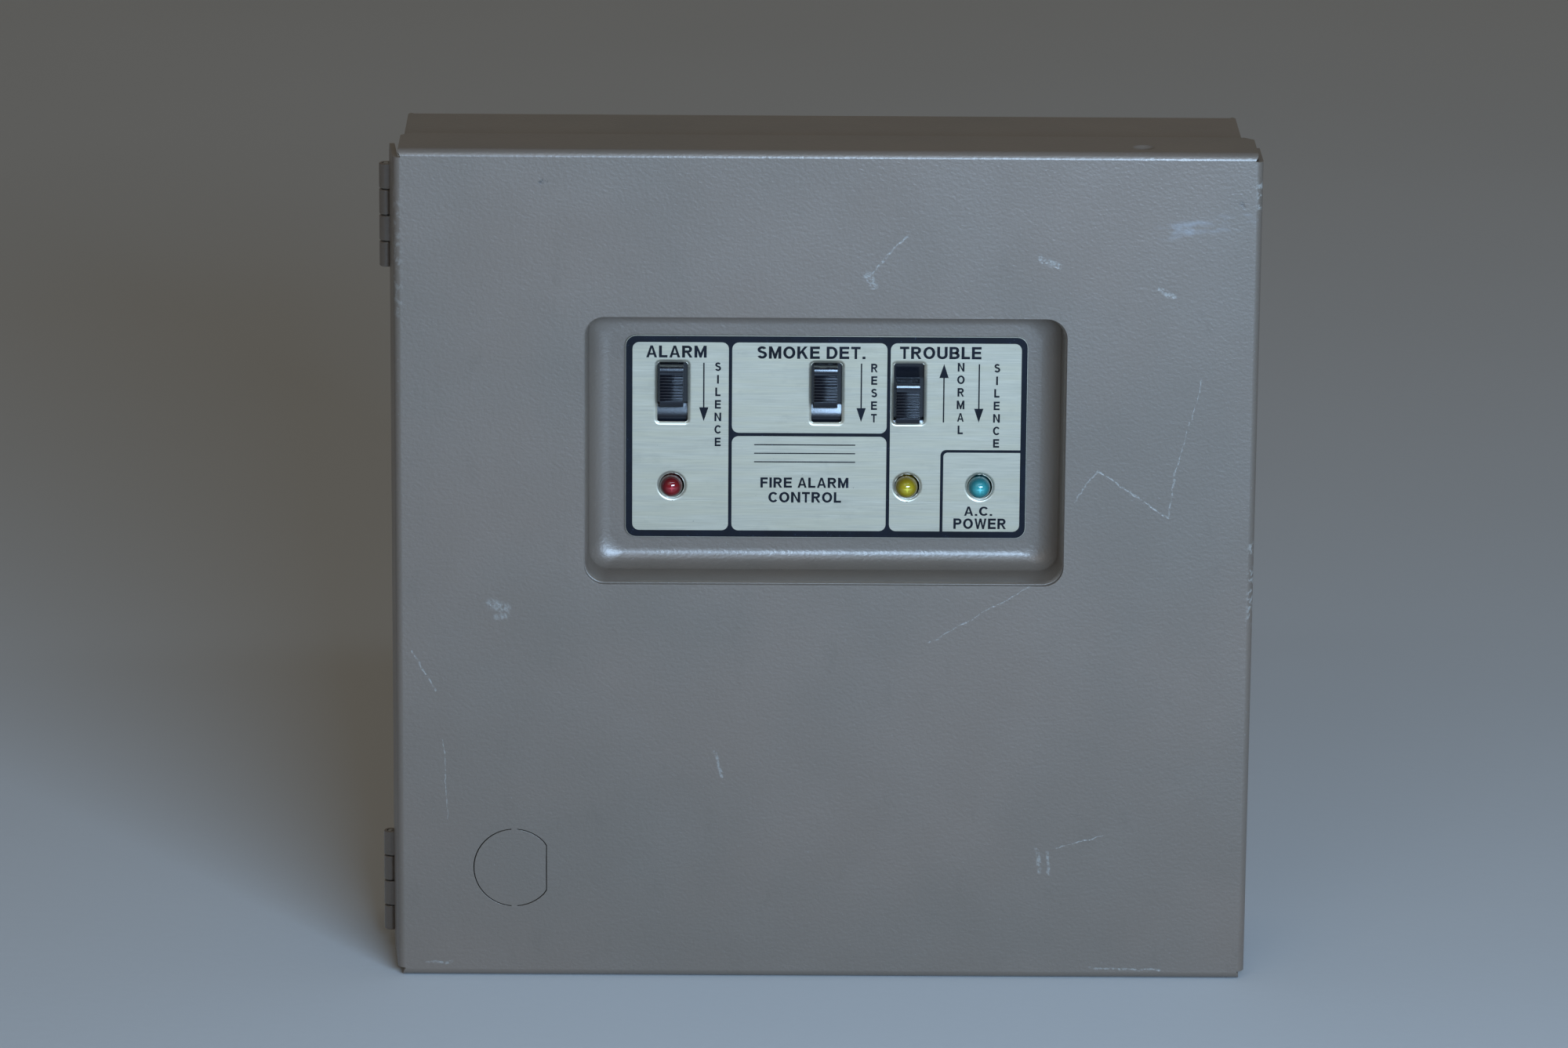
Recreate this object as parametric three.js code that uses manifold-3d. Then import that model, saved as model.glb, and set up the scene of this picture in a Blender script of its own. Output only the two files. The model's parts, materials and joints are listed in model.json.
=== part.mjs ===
// Fire alarm control panel: a folded steel wall cabinet with a hinged door. The door carries a
// recess with a label plate, three slide switches and three lamps on a small switch board. The
// cabinet holds the main circuit board and a standby battery, and a loom crosses the hinge.
//
// Units are millimetres. +X is right, +Y points into the wall and +Z is up. The origin is the
// centre of the cabinet's back face, so the door's outer face lies at -Y.

import * as THREE from "three";
import { mergeVertices } from "three/addons/utils/BufferGeometryUtils.js";
import Module from "manifold-3d";

const wasm = await Module();
wasm.setup();

// ---------------------------------------------------------------- driving dimensions

const SHEET = 1.2; // steel sheet of the door, the cabinet and the recess
const BEND = 1.9; // outer radius of a folded edge
const GAP = 0.3; // air between pieces that touch on the real panel

const DOOR = {
  width: 203.2,
  height: 203.2,
  front: -51, // outer face
  flange: 17.5, // depth of the folded edge, measured from the outer face
  splay: 1.5, // how far the hinge-side flange leans outwards at its rear edge
  topInset: 1.3, // the top and bottom flanges stop this short of the door's sides
  sideInset: 2.0, // the side flanges stop this short of its top and bottom
  cornerCut: 2.2, // chamfer on each flange's rear corners
};

const CABINET = { left: -99.9, right: 98.1, height: 198.4, depth: 48 };
const WALL_HOLES = { spanX: 180, spanZ: 180, radius: 2.5, keyhole: 4.5, slot: 7 };
const KNOCKOUT = { radius: 11.1, slit: 0.4, tie: 2.4 };
const BACK_KNOCKOUT = { x: -55, z: -66 };
const BOTTOM_KNOCKOUTS = { y: -18, x: [-74, -38] };

const RECESS = {
  x: -0.2,
  z: 29.0,
  width: 113.4,
  height: 65.2,
  corner: 4.8,
  depth: 14.5, // from the door's outer face to the recess floor
  rim: 7.5, // flange behind the door, outside the opening
  insetX: 6.1, // how far the walls come in between the opening and the floor
  insetZ: 5.2,
  lip: 1, // radius of the roll at the opening
  root: 5.2, // radius of the curve onto the floor
  rimCorner: 6,
};
const SWITCH_HOLE = { width: 8.8, height: 16.4 }; // in the recess floor, behind each slot

const PLATE = { x: 0.25, z: 29.1, width: 95.2, height: 49.4, corner: 2.6, thickness: 0.6 };
const SLOT = { width: 7.2, height: 14.5, z: 39.95, corner: 0.6 };
const SWITCH_X = { alarm: -36.2, reset: 0.3, trouble: 19.8 };
const LAMP = { hole: 3.1, radius: 2.5, flange: 2.9, height: 8.6, proud: 2.8, z: 17.05 };
const LAMP_LEGS = { spacing: 2.54, width: 0.6 };
const LAMP_X = { alarm: -36.3, trouble: 19.6, power: 36.9 };

const KNOB = { width: 5.6, height: 10, rise: 5.4, ribs: 8, ribPitch: 0.78, ribDepth: 0.45 };
const KNOB_SHIFT = -0.25; // each knob stands left of its slot's middle
const SKIRT = { width: 8.4, height: 19.4, thickness: 0.8 };
const STEM = { width: 3, height: 6, length: 3.2 };
const HOUSING = { width: 9, height: 22, depth: 5.3, corner: 0.8 };
const TRAVEL = 3.9; // of each slide switch

const LOCK = { x: -73.6, z: -74.25, radius: 9.75, flat: 7.8, slit: 0.32, tie: 2.2 };
const CATCH = { x: 73.8, behindFront: 6.4, radius: 4, rise: 0.9, hole: 2.4 };

const HINGE = {
  x: -103.9,
  y: -31.4,
  centres: { upper: 81.5, lower: -83.7 },
  knuckles: 4,
  pitch: 6.3,
  slack: 0.4, // between two knuckles
  outer: 1.7,
  bore: 0.95,
  pin: 0.75,
  leaf: 0.8,
};

const BOARD = { thickness: 1.6, left: -80, right: 80, bottom: -34, top: 78, standoff: 6, inset: 4.5 };
const SWITCH_BOARD = { width: 96, height: 46, postX: 44, postZ: 19.5 };
const TERMINAL = { pitch: 9.5, wall: 1.2, depth: 16, foot: 6, rib: 9, ribDepth: 4, height: 12 };
const RELAY = { length: 26, width: 12.6, height: 15.4, corner: 1 };
const CHIP = { length: 19.6, width: 6.4, above: 0.6, height: 4.2, notch: 0.9 };
const CAPACITOR = { radius: 8, height: 25, crimp: 0.5, rim: 0.8 };
const SOUNDER = { radius: 12, height: 10, edge: 0.8, mouth: 1.5, mouthDepth: 2 };
const RECTIFIER = { length: 15, height: 11, thickness: 4, corner: 2 };
const HEAT_SINK = { width: 28, height: 24, foot: 2.5, fins: 6, fin: 2.55, finLength: 9 };
const FUSE = { length: 32, cap: 6.2, radius: 3.2, glass: 2.9, axis: 7.3 };
const FUSE_HOLDER = { length: 36, width: 12, base: 2.4, clipX: 12.4, clipWidth: 5.2 };
const SCREW = { head: 2.6, headHeight: 1.8, shank: 1.3, length: 5.4 };
const BATTERY = { left: -12, right: 85, bottom: -97.5, height: 52, depth: 24 };
const BATTERY_TAB = { width: 4.8, thickness: 0.8, height: 6, fromRight: { red: 9, black: 25 } };
const STRAP = { width: 14, thickness: 1, foot: 8.6, z: -71, stud: 1.75, studTip: -7, hole: 2.2 };
const NUT = { acrossFlats: 7, height: 2.8, bore: 2.05 };
const LOOM_RADIUS = 2.3;
const LEAD_RADIUS = 0.9;
const OVERCUT = 10; // how far a cutting tool runs past an open side

// ---------------------------------------------------------------- planes worked out from them

const cabinetX = (CABINET.left + CABINET.right) / 2;
const top = CABINET.height / 2;
const backInside = -SHEET;
const doorInside = DOOR.front + SHEET;
const recessFloor = DOOR.front + RECESS.depth;
const recessBack = recessFloor + SHEET;
const plateBack = recessFloor - GAP;
const plateFront = plateBack - PLATE.thickness;
const lampBase = plateFront - LAMP.proud + LAMP.height;
const skirtFront = recessBack + GAP;
const housingFront = skirtFront + SKIRT.thickness + GAP;
const switchBoardFront = housingFront + HOUSING.depth + GAP;
const switchBoardBack = switchBoardFront + BOARD.thickness;
const onSwitchBoardRear = switchBoardBack + GAP;
const boardBack = backInside - GAP - BOARD.standoff - GAP;
const boardFront = boardBack - BOARD.thickness;
const onBoard = boardFront - GAP;
const catchY = DOOR.front + CATCH.behindFront;

// ---------------------------------------------------------------- finishes

const FINISH = {
  paint: { color: 0x6f6c66, roughness: 0.42, metalness: 0.25 },
  zinc: { color: 0xb9bcc0, roughness: 0.35, metalness: 0.9 },
  plate: { color: 0xc4cace, roughness: 0.3, metalness: 0.8 },
  black: { color: 0x10131a, roughness: 0.25, metalness: 0 },
  grey: { color: 0x4a4d52, roughness: 0.5, metalness: 0 },
  red: { color: 0x7a1216, roughness: 0.15, metalness: 0 },
  amber: { color: 0xa88f10, roughness: 0.15, metalness: 0 },
  green: { color: 0x3f8f86, roughness: 0.15, metalness: 0 },
  laminate: { color: 0x2f5a34, roughness: 0.45, metalness: 0 },
  aluminium: { color: 0xa9adb1, roughness: 0.4, metalness: 0.9 },
  sleeve: { color: 0x223a6c, roughness: 0.3, metalness: 0 },
  redWire: { color: 0x9c1f1c, roughness: 0.5, metalness: 0 },
  glass: { color: 0xd8e2e4, roughness: 0.1, metalness: 0 },
};

// ---------------------------------------------------------------- outlines

function arc(x, y, radius, from, to, steps) {
  const points = [];
  for (let i = 0; i <= steps; i++) {
    const a = from + ((to - from) * i) / steps;
    points.push([x + radius * Math.cos(a), y + radius * Math.sin(a)]);
  }
  return points;
}

function circle(x, y, radius, sides) {
  return arc(x, y, radius, 0, 2 * Math.PI, sides).slice(0, sides);
}

function rectangle(x0, x1, y0, y1) {
  return [[x0, y0], [x1, y0], [x1, y1], [x0, y1]];
}

function roundedRectangle(x, y, width, height, radius, steps = 5) {
  const quarter = Math.PI / 2;
  const corners = [[1, 1], [-1, 1], [-1, -1], [1, -1]];
  return corners.flatMap(([sx, sy], i) => {
    const cx = x + sx * (width / 2 - radius);
    const cy = y + sy * (height / 2 - radius);
    return arc(cx, cy, radius, i * quarter, (i + 1) * quarter, steps);
  });
}

// A circle with one side cut off flat, at +flat from its centre along the first axis.
function dShape(x, y, radius, flat, steps = 28) {
  const a = Math.acos(flat / radius);
  return arc(x, y, radius, a, 2 * Math.PI - a, steps);
}

// The outline of a folded strip. corners is its centre line; each inner corner is rounded to
// radius, measured on the centre line.
function foldedStrip(corners, thickness, radius, steps = 4) {
  const line = corners.map(([x, y]) => new THREE.Vector2(x, y));
  const left = [];
  const right = [];
  const push = (point, normal) => {
    left.push([point.x + (normal.x * thickness) / 2, point.y + (normal.y * thickness) / 2]);
    right.unshift([point.x - (normal.x * thickness) / 2, point.y - (normal.y * thickness) / 2]);
  };
  const direction = (i) => line[i + 1].clone().sub(line[i]).normalize();
  const normalOf = (d) => new THREE.Vector2(-d.y, d.x);
  push(line[0], normalOf(direction(0)));
  for (let i = 1; i < line.length - 1; i++) {
    const before = direction(i - 1);
    const after = direction(i);
    const turn = Math.atan2(before.cross(after), before.dot(after));
    const reach = radius * Math.tan(Math.abs(turn) / 2);
    const start = line[i].clone().addScaledVector(before, -reach);
    const normal = normalOf(before);
    const centre = start.clone().addScaledVector(normal, Math.sign(turn) * radius);
    for (let k = 0; k <= steps; k++) {
      const a = (turn * k) / steps;
      const point = start.clone().rotateAround(centre, a);
      push(point, normal.clone().rotateAround(new THREE.Vector2(), a));
    }
  }
  push(line.at(-1), normalOf(direction(line.length - 2)));
  return [...left, ...right];
}

// ---------------------------------------------------------------- solids

function solid(geometry) {
  const bare = new THREE.BufferGeometry();
  const source = geometry.index ? geometry.toNonIndexed() : geometry;
  bare.setAttribute("position", source.getAttribute("position"));
  const merged = mergeVertices(bare, 1e-4);
  return new wasm.Manifold(
    new wasm.Mesh({
      numProp: 3,
      vertProperties: merged.getAttribute("position").array,
      triVerts: new Uint32Array(merged.index.array),
    }),
  );
}

function geometryOf(manifold) {
  const mesh = manifold.getMesh();
  const geometry = new THREE.BufferGeometry();
  geometry.setAttribute("position", new THREE.BufferAttribute(mesh.vertProperties, 3));
  geometry.setIndex(new THREE.BufferAttribute(mesh.triVerts, 1));
  const flat = geometry.toNonIndexed();
  flat.computeVertexNormals();
  return flat;
}

function extruded(outline, holes, depth) {
  const asVectors = (points) => points.map(([x, y]) => new THREE.Vector2(x, y));
  const shape = new THREE.Shape(asVectors(outline));
  shape.holes = holes.map((hole) => new THREE.Path(asVectors(hole)));
  return new THREE.ExtrudeGeometry(shape, { depth, bevelEnabled: false });
}

const axisX = new THREE.Vector3(1, 0, 0);
const axisY = new THREE.Vector3(0, 1, 0);
const axisZ = new THREE.Vector3(0, 0, 1);

// An outline in (y, z), extruded along X.
function alongX(outline, from, to, holes = []) {
  const turn = new THREE.Matrix4().makeBasis(axisY, axisZ, axisX);
  return solid(extruded(outline, holes, to - from).applyMatrix4(turn).translate(from, 0, 0));
}

// An outline in (x, z), extruded along Y.
function alongY(outline, from, to, holes = []) {
  const turn = new THREE.Matrix4().makeBasis(axisX, axisZ, axisY.clone().negate());
  return solid(extruded(outline, holes, to - from).applyMatrix4(turn).translate(0, to, 0));
}

// An outline in (x, y), extruded along Z.
function alongZ(outline, from, to, holes = []) {
  return solid(extruded(outline, holes, to - from).translate(0, 0, from));
}

function block(x0, x1, y0, y1, z0, z1) {
  const box = new THREE.BoxGeometry(x1 - x0, y1 - y0, z1 - z0);
  return solid(box.translate((x0 + x1) / 2, (y0 + y1) / 2, (z0 + z1) / 2));
}

function ball(x, y, z, radius, sides) {
  return solid(new THREE.SphereGeometry(radius, sides, sides / 2).translate(x, y, z));
}

// A profile of [radius, height] turned about Y. Height runs towards -Y, out of the panel.
function turned(profile, sides) {
  const points = profile.map(([radius, height]) => new THREE.Vector2(radius, height));
  return solid(new THREE.LatheGeometry(points, sides).rotateX(Math.PI));
}

function joined(...parts) {
  return parts.reduce((whole, part) => whole.add(part));
}

function cut(whole, ...tools) {
  return tools.reduce((rest, tool) => rest.subtract(tool), whole);
}

// A solid through a stack of closed rings, each a list of [x, y, z] with the same count.
function loft(rings) {
  const count = rings[0].length;
  const positions = rings.flat(2);
  const index = [];
  for (let r = 0; r < rings.length - 1; r++) {
    for (let i = 0; i < count; i++) {
      const a = r * count + i;
      const b = r * count + ((i + 1) % count);
      index.push(a, b + count, b, a, a + count, b + count);
    }
  }
  const last = (rings.length - 1) * count;
  for (let i = 1; i < count - 1; i++) {
    index.push(0, i, i + 1);
    index.push(last, last + i + 1, last + i);
  }
  const geometry = new THREE.BufferGeometry();
  geometry.setAttribute("position", new THREE.Float32BufferAttribute(positions, 3));
  geometry.setIndex(index);
  return solid(geometry);
}

// ---------------------------------------------------------------- scene graph

const panel = new THREE.Group();
const cabinet = new THREE.Group();
const door = new THREE.Group();
panel.add(cabinet, door);

function place(group, name, shape, finish, x = 0, y = 0, z = 0) {
  const mesh = new THREE.Mesh(geometryOf(shape), new THREE.MeshStandardMaterial(FINISH[finish]));
  mesh.name = name;
  mesh.position.set(x, y, z);
  group.add(mesh);
  return mesh;
}

// The same, turned to stand on the rear of a board instead of its front.
function placeOnRear(group, name, shape, finish, x, y, z) {
  place(group, name, shape, finish, x, y, z).rotation.x = Math.PI;
}

// ---------------------------------------------------------------- cabinet

// A pressed-out disc held by two small ties: the slit round it, running along the given axis.
function knockoutSlit(extrude, u, v, from, to) {
  const { radius, slit, tie } = KNOCKOUT;
  const ring = extrude(circle(u, v, radius, 32), from, to, [circle(u, v, radius - slit, 32)]);
  const ties = extrude(rectangle(u - radius - 1, u + radius + 1, v - tie / 2, v + tie / 2), from, to);
  return cut(ring, ties);
}

function keyhole(x, z) {
  const { radius, keyhole: wide, slot } = WALL_HOLES;
  const round = alongY(circle(x, z, wide, 20), -3, 1);
  const end = alongY(circle(x, z + slot, radius, 16), -3, 1);
  const neck = alongY(rectangle(x - radius, x + radius, z, z + slot), -3, 1);
  return joined(round, end, neck);
}

function cabinetShell() {
  const { left, right, depth } = CABINET;
  const across = (inset, radius, front) => {
    const outline = [[left + inset, front], [right - inset, front]];
    outline.push(...arc(right - inset - radius, -inset - radius, radius, 0, Math.PI / 2, 4));
    outline.push(...arc(left + inset + radius, -inset - radius, radius, Math.PI / 2, Math.PI, 4));
    return alongZ(outline, -top + inset, top - inset);
  };
  const upright = (inset, radius, front) => {
    const outline = [[front, -top + inset]];
    outline.push(...arc(-inset - radius, -top + inset + radius, radius, -Math.PI / 2, 0, 4));
    outline.push(...arc(-inset - radius, top - inset - radius, radius, 0, Math.PI / 2, 4));
    outline.push([front, top - inset]);
    return alongX(outline, left + inset, right - inset);
  };
  const outside = across(0, BEND, -depth).intersect(upright(0, BEND, -depth));
  const inner = [SHEET, BEND - SHEET, -depth - OVERCUT];
  const inside = across(...inner).intersect(upright(...inner));
  const holeX = WALL_HOLES.spanX / 2;
  const holeZ = WALL_HOLES.spanZ / 2;
  const shell = cut(
    outside,
    inside,
    keyhole(cabinetX - holeX, holeZ - 4),
    keyhole(cabinetX + holeX, holeZ - 4),
    alongY(circle(cabinetX - holeX, -holeZ, WALL_HOLES.radius, 16), -3, 1),
    alongY(circle(cabinetX + holeX, -holeZ, WALL_HOLES.radius, 16), -3, 1),
    knockoutSlit(alongY, BACK_KNOCKOUT.x, BACK_KNOCKOUT.z, -3, 1),
    ...BOTTOM_KNOCKOUTS.x.map((x) =>
      knockoutSlit(alongZ, x, BOTTOM_KNOCKOUTS.y, -top - 1, -top + 3),
    ),
    alongZ(circle(CATCH.x, catchY, CATCH.hole, 16), top - 3, top + 1),
  );
  return joined(shell, ...strapStuds());
}

function strapFeet() {
  const { left, right } = BATTERY;
  return [left - 1.6 - STRAP.foot / 2, right + 1.6 + STRAP.foot / 2];
}

function strapStuds() {
  const { z, stud, studTip } = STRAP;
  return strapFeet().map((x) => alongY(circle(x, z, stud, 12), studTip, backInside + 0.1));
}

// ---------------------------------------------------------------- hinges

// Leaf, knuckles and bore of one half hinge. The strip's centre line ends over the barrel.
function hingeLeaf(centreLine, ownKnuckles, notch) {
  const { x, y, knuckles, pitch, slack, outer, bore, leaf } = HINGE;
  const half = (knuckles * pitch) / 2;
  let body = alongZ(foldedStrip(centreLine, leaf, 0.9), -half, half);
  for (let k = 0; k < knuckles; k++) {
    const low = half - (k + 1) * pitch;
    if (ownKnuckles.includes(k)) {
      const barrel = circle(x, y, outer, 20);
      body = body.add(alongZ(barrel, low + slack / 2, low + pitch - slack / 2));
    } else {
      body = cut(body, block(...notch, low - slack / 2, low + pitch + slack / 2));
    }
  }
  const ends = [-half - 1, half + 1];
  const frames = ends.map((z) => block(x - 3, x + 2, y - 3, y + 3, z - 1.2, z + 1.2));
  return cut(body, alongZ(circle(x, y, bore, 16), -half - 1, half + 1), ...frames);
}

function doorLeaf() {
  const { x, y, outer, leaf } = HINGE;
  const lean = DOOR.splay / (DOOR.flange - SHEET / 2);
  const inner = -DOOR.width / 2 + SHEET + GAP + leaf / 2;
  const front = -41.6;
  const near = y - outer + leaf / 2;
  const line = [
    [inner - lean * (front - DOOR.front - SHEET / 2), front],
    [inner - lean * (near - DOOR.front - SHEET / 2), near],
    [x, near],
  ];
  return hingeLeaf(line, [0, 2], [x - 3, inner, DOOR.front + DOOR.flange - 0.6, y + 3]);
}

function cabinetLeaf() {
  const { x, y, outer, leaf } = HINGE;
  const wall = CABINET.left - GAP - leaf / 2;
  const far = y + outer - leaf / 2;
  const line = [[x, far], [wall, far], [wall, far + 11]];
  return hingeLeaf(line, [1, 3], [x - 3, wall + 1, y - 3, far + 1.4]);
}

function hingePin() {
  const half = (HINGE.knuckles * HINGE.pitch) / 2;
  return alongZ(circle(0, 0, HINGE.pin, 12), -half + 0.1, half - 0.1);
}

// ---------------------------------------------------------------- door

function doorPanel() {
  const { width, height, front, flange, splay, topInset, sideInset, cornerCut } = DOOR;
  const rear = front + flange;
  const face = front + SHEET / 2;
  const side = width / 2 - SHEET / 2;
  const edge = height / 2 - SHEET / 2;
  const fold = BEND - SHEET / 2;
  const upright = foldedStrip([[rear, edge], [face, edge], [face, -edge], [rear, -edge]], SHEET, fold);
  const across = foldedStrip(
    [[-side - splay, rear], [-side, face], [side, face], [side, rear]],
    SHEET,
    fold,
  );
  const reach = width / 2 - topInset;
  const span = height / 2 - sideInset;
  let panelSheet = joined(alongX(upright, -reach, reach), alongZ(across, -span, span));
  for (const s of [-1, 1]) {
    const corner = [[s * reach, rear - cornerCut], [s * (reach + 1), rear + 1]];
    corner.push([s * (reach - cornerCut), rear + 1], [s * (reach - cornerCut / 2), rear]);
    for (const z of [edge, -edge]) panelSheet = cut(panelSheet, alongZ(corner, z - 2, z + 2));
  }
  const opening = roundedRectangle(RECESS.x, RECESS.z, RECESS.width, RECESS.height, RECESS.corner);
  panelSheet = cut(panelSheet, alongY(opening, front - 1, front + 3), lockSlit());
  return withCatch(panelSheet);
}

// The knockout for a cam lock: a slit round a D, with a tie left at its top and its bottom.
function lockSlit() {
  const { x, z, radius, flat, slit, tie } = LOCK;
  const from = DOOR.front - 1;
  const to = DOOR.front + 3;
  const inner = dShape(x, z, radius - slit, flat - slit);
  const ring = alongY(dShape(x, z, radius, flat), from, to, [inner]);
  const ties = alongY(rectangle(x - 0.8 - tie / 2, x - 0.8 + tie / 2, z - 11, z + 11), from, to);
  return cut(ring, ties);
}

// The dimple in the top flange that snaps into the cabinet's catch hole.
function withCatch(sheet) {
  const underside = DOOR.height / 2 - SHEET;
  const centre = underside - CATCH.rise + CATCH.radius;
  const bump = ball(CATCH.x, catchY, centre, CATCH.radius, 24);
  const lower = block(CATCH.x - 5, CATCH.x + 5, catchY - 5, catchY + 5, underside - 3, underside + 0.6);
  return cut(sheet.add(bump.intersect(lower)), ball(CATCH.x, catchY, centre, CATCH.radius - 1, 24));
}

// Inset (0 at the opening, 1 at the floor) and depth of the recess wall. It rolls over a small
// lip, slopes in and rolls out onto the floor.
function recessProfile(rimPlane, floorPlane, lip, root) {
  const width = (RECESS.insetX + RECESS.insetZ) / 2;
  const points = foldedCorner(0, rimPlane, lip, root, width, floorPlane);
  return points.map(([u, y]) => [u / width, y]);
}

function foldedCorner(u0, y0, lip, root, u1, y1) {
  const lipRun = lip * 0.35; // the roll is drawn tighter across than it is deep
  const curvesRun = lip * 0.2 + root * 0.55; // of the width, what the two curves take up
  const slope = Math.atan2(u1 - u0 - curvesRun, y1 - y0);
  const turn = Math.PI / 2 - slope;
  const points = [];
  for (let i = 0; i <= 3; i++) {
    const a = (turn * i) / 3;
    points.push([u0 + lipRun * Math.sin(a), y0 + lip * (1 - Math.cos(a))]);
  }
  for (let i = 0; i <= 5; i++) {
    const a = (turn * (5 - i)) / 5;
    points.push([u1 - root * Math.sin(a), y1 - root * (1 - Math.cos(a))]);
  }
  return points;
}

function recessRings(profile, grow) {
  return profile.map(([inset, y]) => {
    const width = RECESS.width - 2 * RECESS.insetX * inset + 2 * grow;
    const height = RECESS.height - 2 * RECESS.insetZ * inset + 2 * grow;
    const ring = roundedRectangle(RECESS.x, RECESS.z, width, height, RECESS.corner + grow);
    return ring.map(([x, z]) => [x, y, z]);
  });
}

function recessPan() {
  const rim = doorInside + GAP;
  const inner = recessProfile(rim, recessFloor, RECESS.lip, RECESS.root);
  const hollow = loft(recessRings([[0, rim - 2], ...inner], 0));
  const outer = inner.map(([inset, y]) => [inset, y + SHEET]);
  const body = loft(recessRings([[0, rim], ...outer], SHEET));
  const reach = 2 * RECESS.rim;
  const rimOutline = roundedRectangle(
    RECESS.x, RECESS.z, RECESS.width + reach, RECESS.height + reach, RECESS.rimCorner, 3,
  );
  let pan = cut(joined(alongY(rimOutline, rim, rim + SHEET), body), hollow);
  for (const x of Object.values(SWITCH_X)) {
    const halfX = SWITCH_HOLE.width / 2;
    const halfZ = SWITCH_HOLE.height / 2;
    const hole = rectangle(x - halfX, x + halfX, SLOT.z - halfZ, SLOT.z + halfZ);
    pan = cut(pan, alongY(hole, recessFloor - 1, recessBack + 1));
  }
  for (const x of Object.values(LAMP_X)) {
    pan = cut(pan, alongY(circle(x, LAMP.z, LAMP.hole + 0.5, 16), recessFloor - 1, recessBack + 1));
  }
  return pan;
}

function labelPlate() {
  const { x, z, width, height, corner } = PLATE;
  const slots = Object.values(SWITCH_X).map((sx) =>
    roundedRectangle(sx, SLOT.z, SLOT.width, SLOT.height, SLOT.corner, 2),
  );
  const lamps = Object.values(LAMP_X).map((lx) => circle(lx, LAMP.z, LAMP.hole, 20));
  const outline = roundedRectangle(x, z, width, height, corner);
  return alongY(outline, plateFront, plateBack, [...slots, ...lamps]);
}

// ---------------------------------------------------------------- switches and lamps

// Knob, skirt and stem of one slide switch. Its origin is the knob's middle, on the skirt's face.
function slider() {
  const { width, height, rise, ribs, ribPitch, ribDepth } = KNOB;
  const half = height / 2;
  const chamfer = 0.5;
  const side = [[0.2, -half], [-rise + chamfer, -half], [-rise, -half + chamfer]];
  const start = (-ribs * ribPitch) / 2;
  for (let i = 0; i < ribs; i++) {
    const low = start + i * ribPitch;
    side.push([-rise, low], [-rise + ribDepth, low + 0.16]);
    side.push([-rise + ribDepth, low + ribPitch * 0.45], [-rise, low + ribPitch * 0.45 + 0.16]);
  }
  side.push([-rise, half - chamfer], [-rise + chamfer, half], [0.2, half]);
  const knob = alongX(side, -width / 2, width / 2);
  const skirtX = SKIRT.width / 2;
  const skirtZ = SKIRT.height / 2;
  const skirt = block(-skirtX, skirtX, 0, SKIRT.thickness, -skirtZ, skirtZ);
  const stemEnd = SKIRT.thickness + STEM.length;
  const stem = block(-STEM.width / 2, STEM.width / 2, 0.1, stemEnd, -STEM.height / 2, STEM.height / 2);
  return joined(knob, skirt, stem);
}

// Switch housing with the pocket that the slider's stem runs in. Its origin is its front face.
function switchHousing() {
  const depth = switchBoardFront - GAP - housingFront;
  const pocketX = STEM.width / 2 + 0.3;
  const pocketZ = (STEM.height + TRAVEL) / 2 + 0.3;
  const outline = roundedRectangle(0, 0, HOUSING.width, HOUSING.height, HOUSING.corner, 2);
  const body = alongY(outline, 0, depth);
  return cut(body, block(-pocketX, pocketX, -1, STEM.length + 0.6, -pocketZ, pocketZ));
}

// A domed lamp with its rim and two legs. Its origin is the middle of its base.
function lamp() {
  const { radius, flange, height } = LAMP;
  const profile = [[0, 0], [flange, 0], [flange, 1], [radius, 1]];
  profile.push(...arc(0, height - radius, radius, 0, Math.PI / 2, 6).slice(0, -1), [0, height]);
  const legLength = switchBoardFront - GAP - lampBase;
  const offset = LAMP_LEGS.spacing / 2;
  const half = LAMP_LEGS.width / 2;
  const legs = [-offset, offset].map((x) => block(x - half, x + half, -0.2, legLength, -half, half));
  return joined(turned(profile, 20), ...legs);
}

// ---------------------------------------------------------------- boards and fixings

function hexagon(acrossFlats) {
  return circle(0, 0, acrossFlats / Math.sqrt(3), 6);
}

function spacer(acrossFlats, bore, length) {
  return alongY(hexagon(acrossFlats), 0, length, [circle(0, 0, bore, 10)]);
}

// Slotted pan-head screw. Its origin is under its head; the shank runs along +Y.
function screw() {
  const { head, headHeight, shank, length } = SCREW;
  const profile = [[0, -length], [shank, -length], [shank, 0], [head, 0], [head, headHeight * 0.5]];
  profile.push([head * 0.72, headHeight * 0.9], [0, headHeight]);
  const slot = block(-head - 1, head + 1, -headHeight - 1, -headHeight * 0.5, -0.35, 0.35);
  return cut(turned(profile, 12), slot);
}

function boardCorners() {
  const { left, right, bottom, top: upper, inset } = BOARD;
  return [
    [left + inset, upper - inset],
    [right - inset, upper - inset],
    [left + inset, bottom + inset],
    [right - inset, bottom + inset],
  ];
}

function switchBoardPosts() {
  const { postX, postZ } = SWITCH_BOARD;
  return [[-1, 1], [1, 1], [-1, -1], [1, -1]].map(([sx, sz]) => [
    RECESS.x + sx * postX,
    RECESS.z + sz * postZ,
  ]);
}

function mainBoard() {
  const { left, right, bottom, top: upper } = BOARD;
  const holes = boardCorners().map(([x, z]) => circle(x, z, 1.7, 10));
  return alongY(rectangle(left, right, bottom, upper), boardFront, boardBack, holes);
}

function switchBoard() {
  const { width, height } = SWITCH_BOARD;
  const holes = switchBoardPosts().map(([x, z]) => circle(x, z, 1.6, 10));
  const halfX = width / 2;
  const halfZ = height / 2;
  const outline = rectangle(RECESS.x - halfX, RECESS.x + halfX, RECESS.z - halfZ, RECESS.z + halfZ);
  return alongY(outline, switchBoardFront, switchBoardBack, holes);
}

// ---------------------------------------------------------------- parts on the main board

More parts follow.
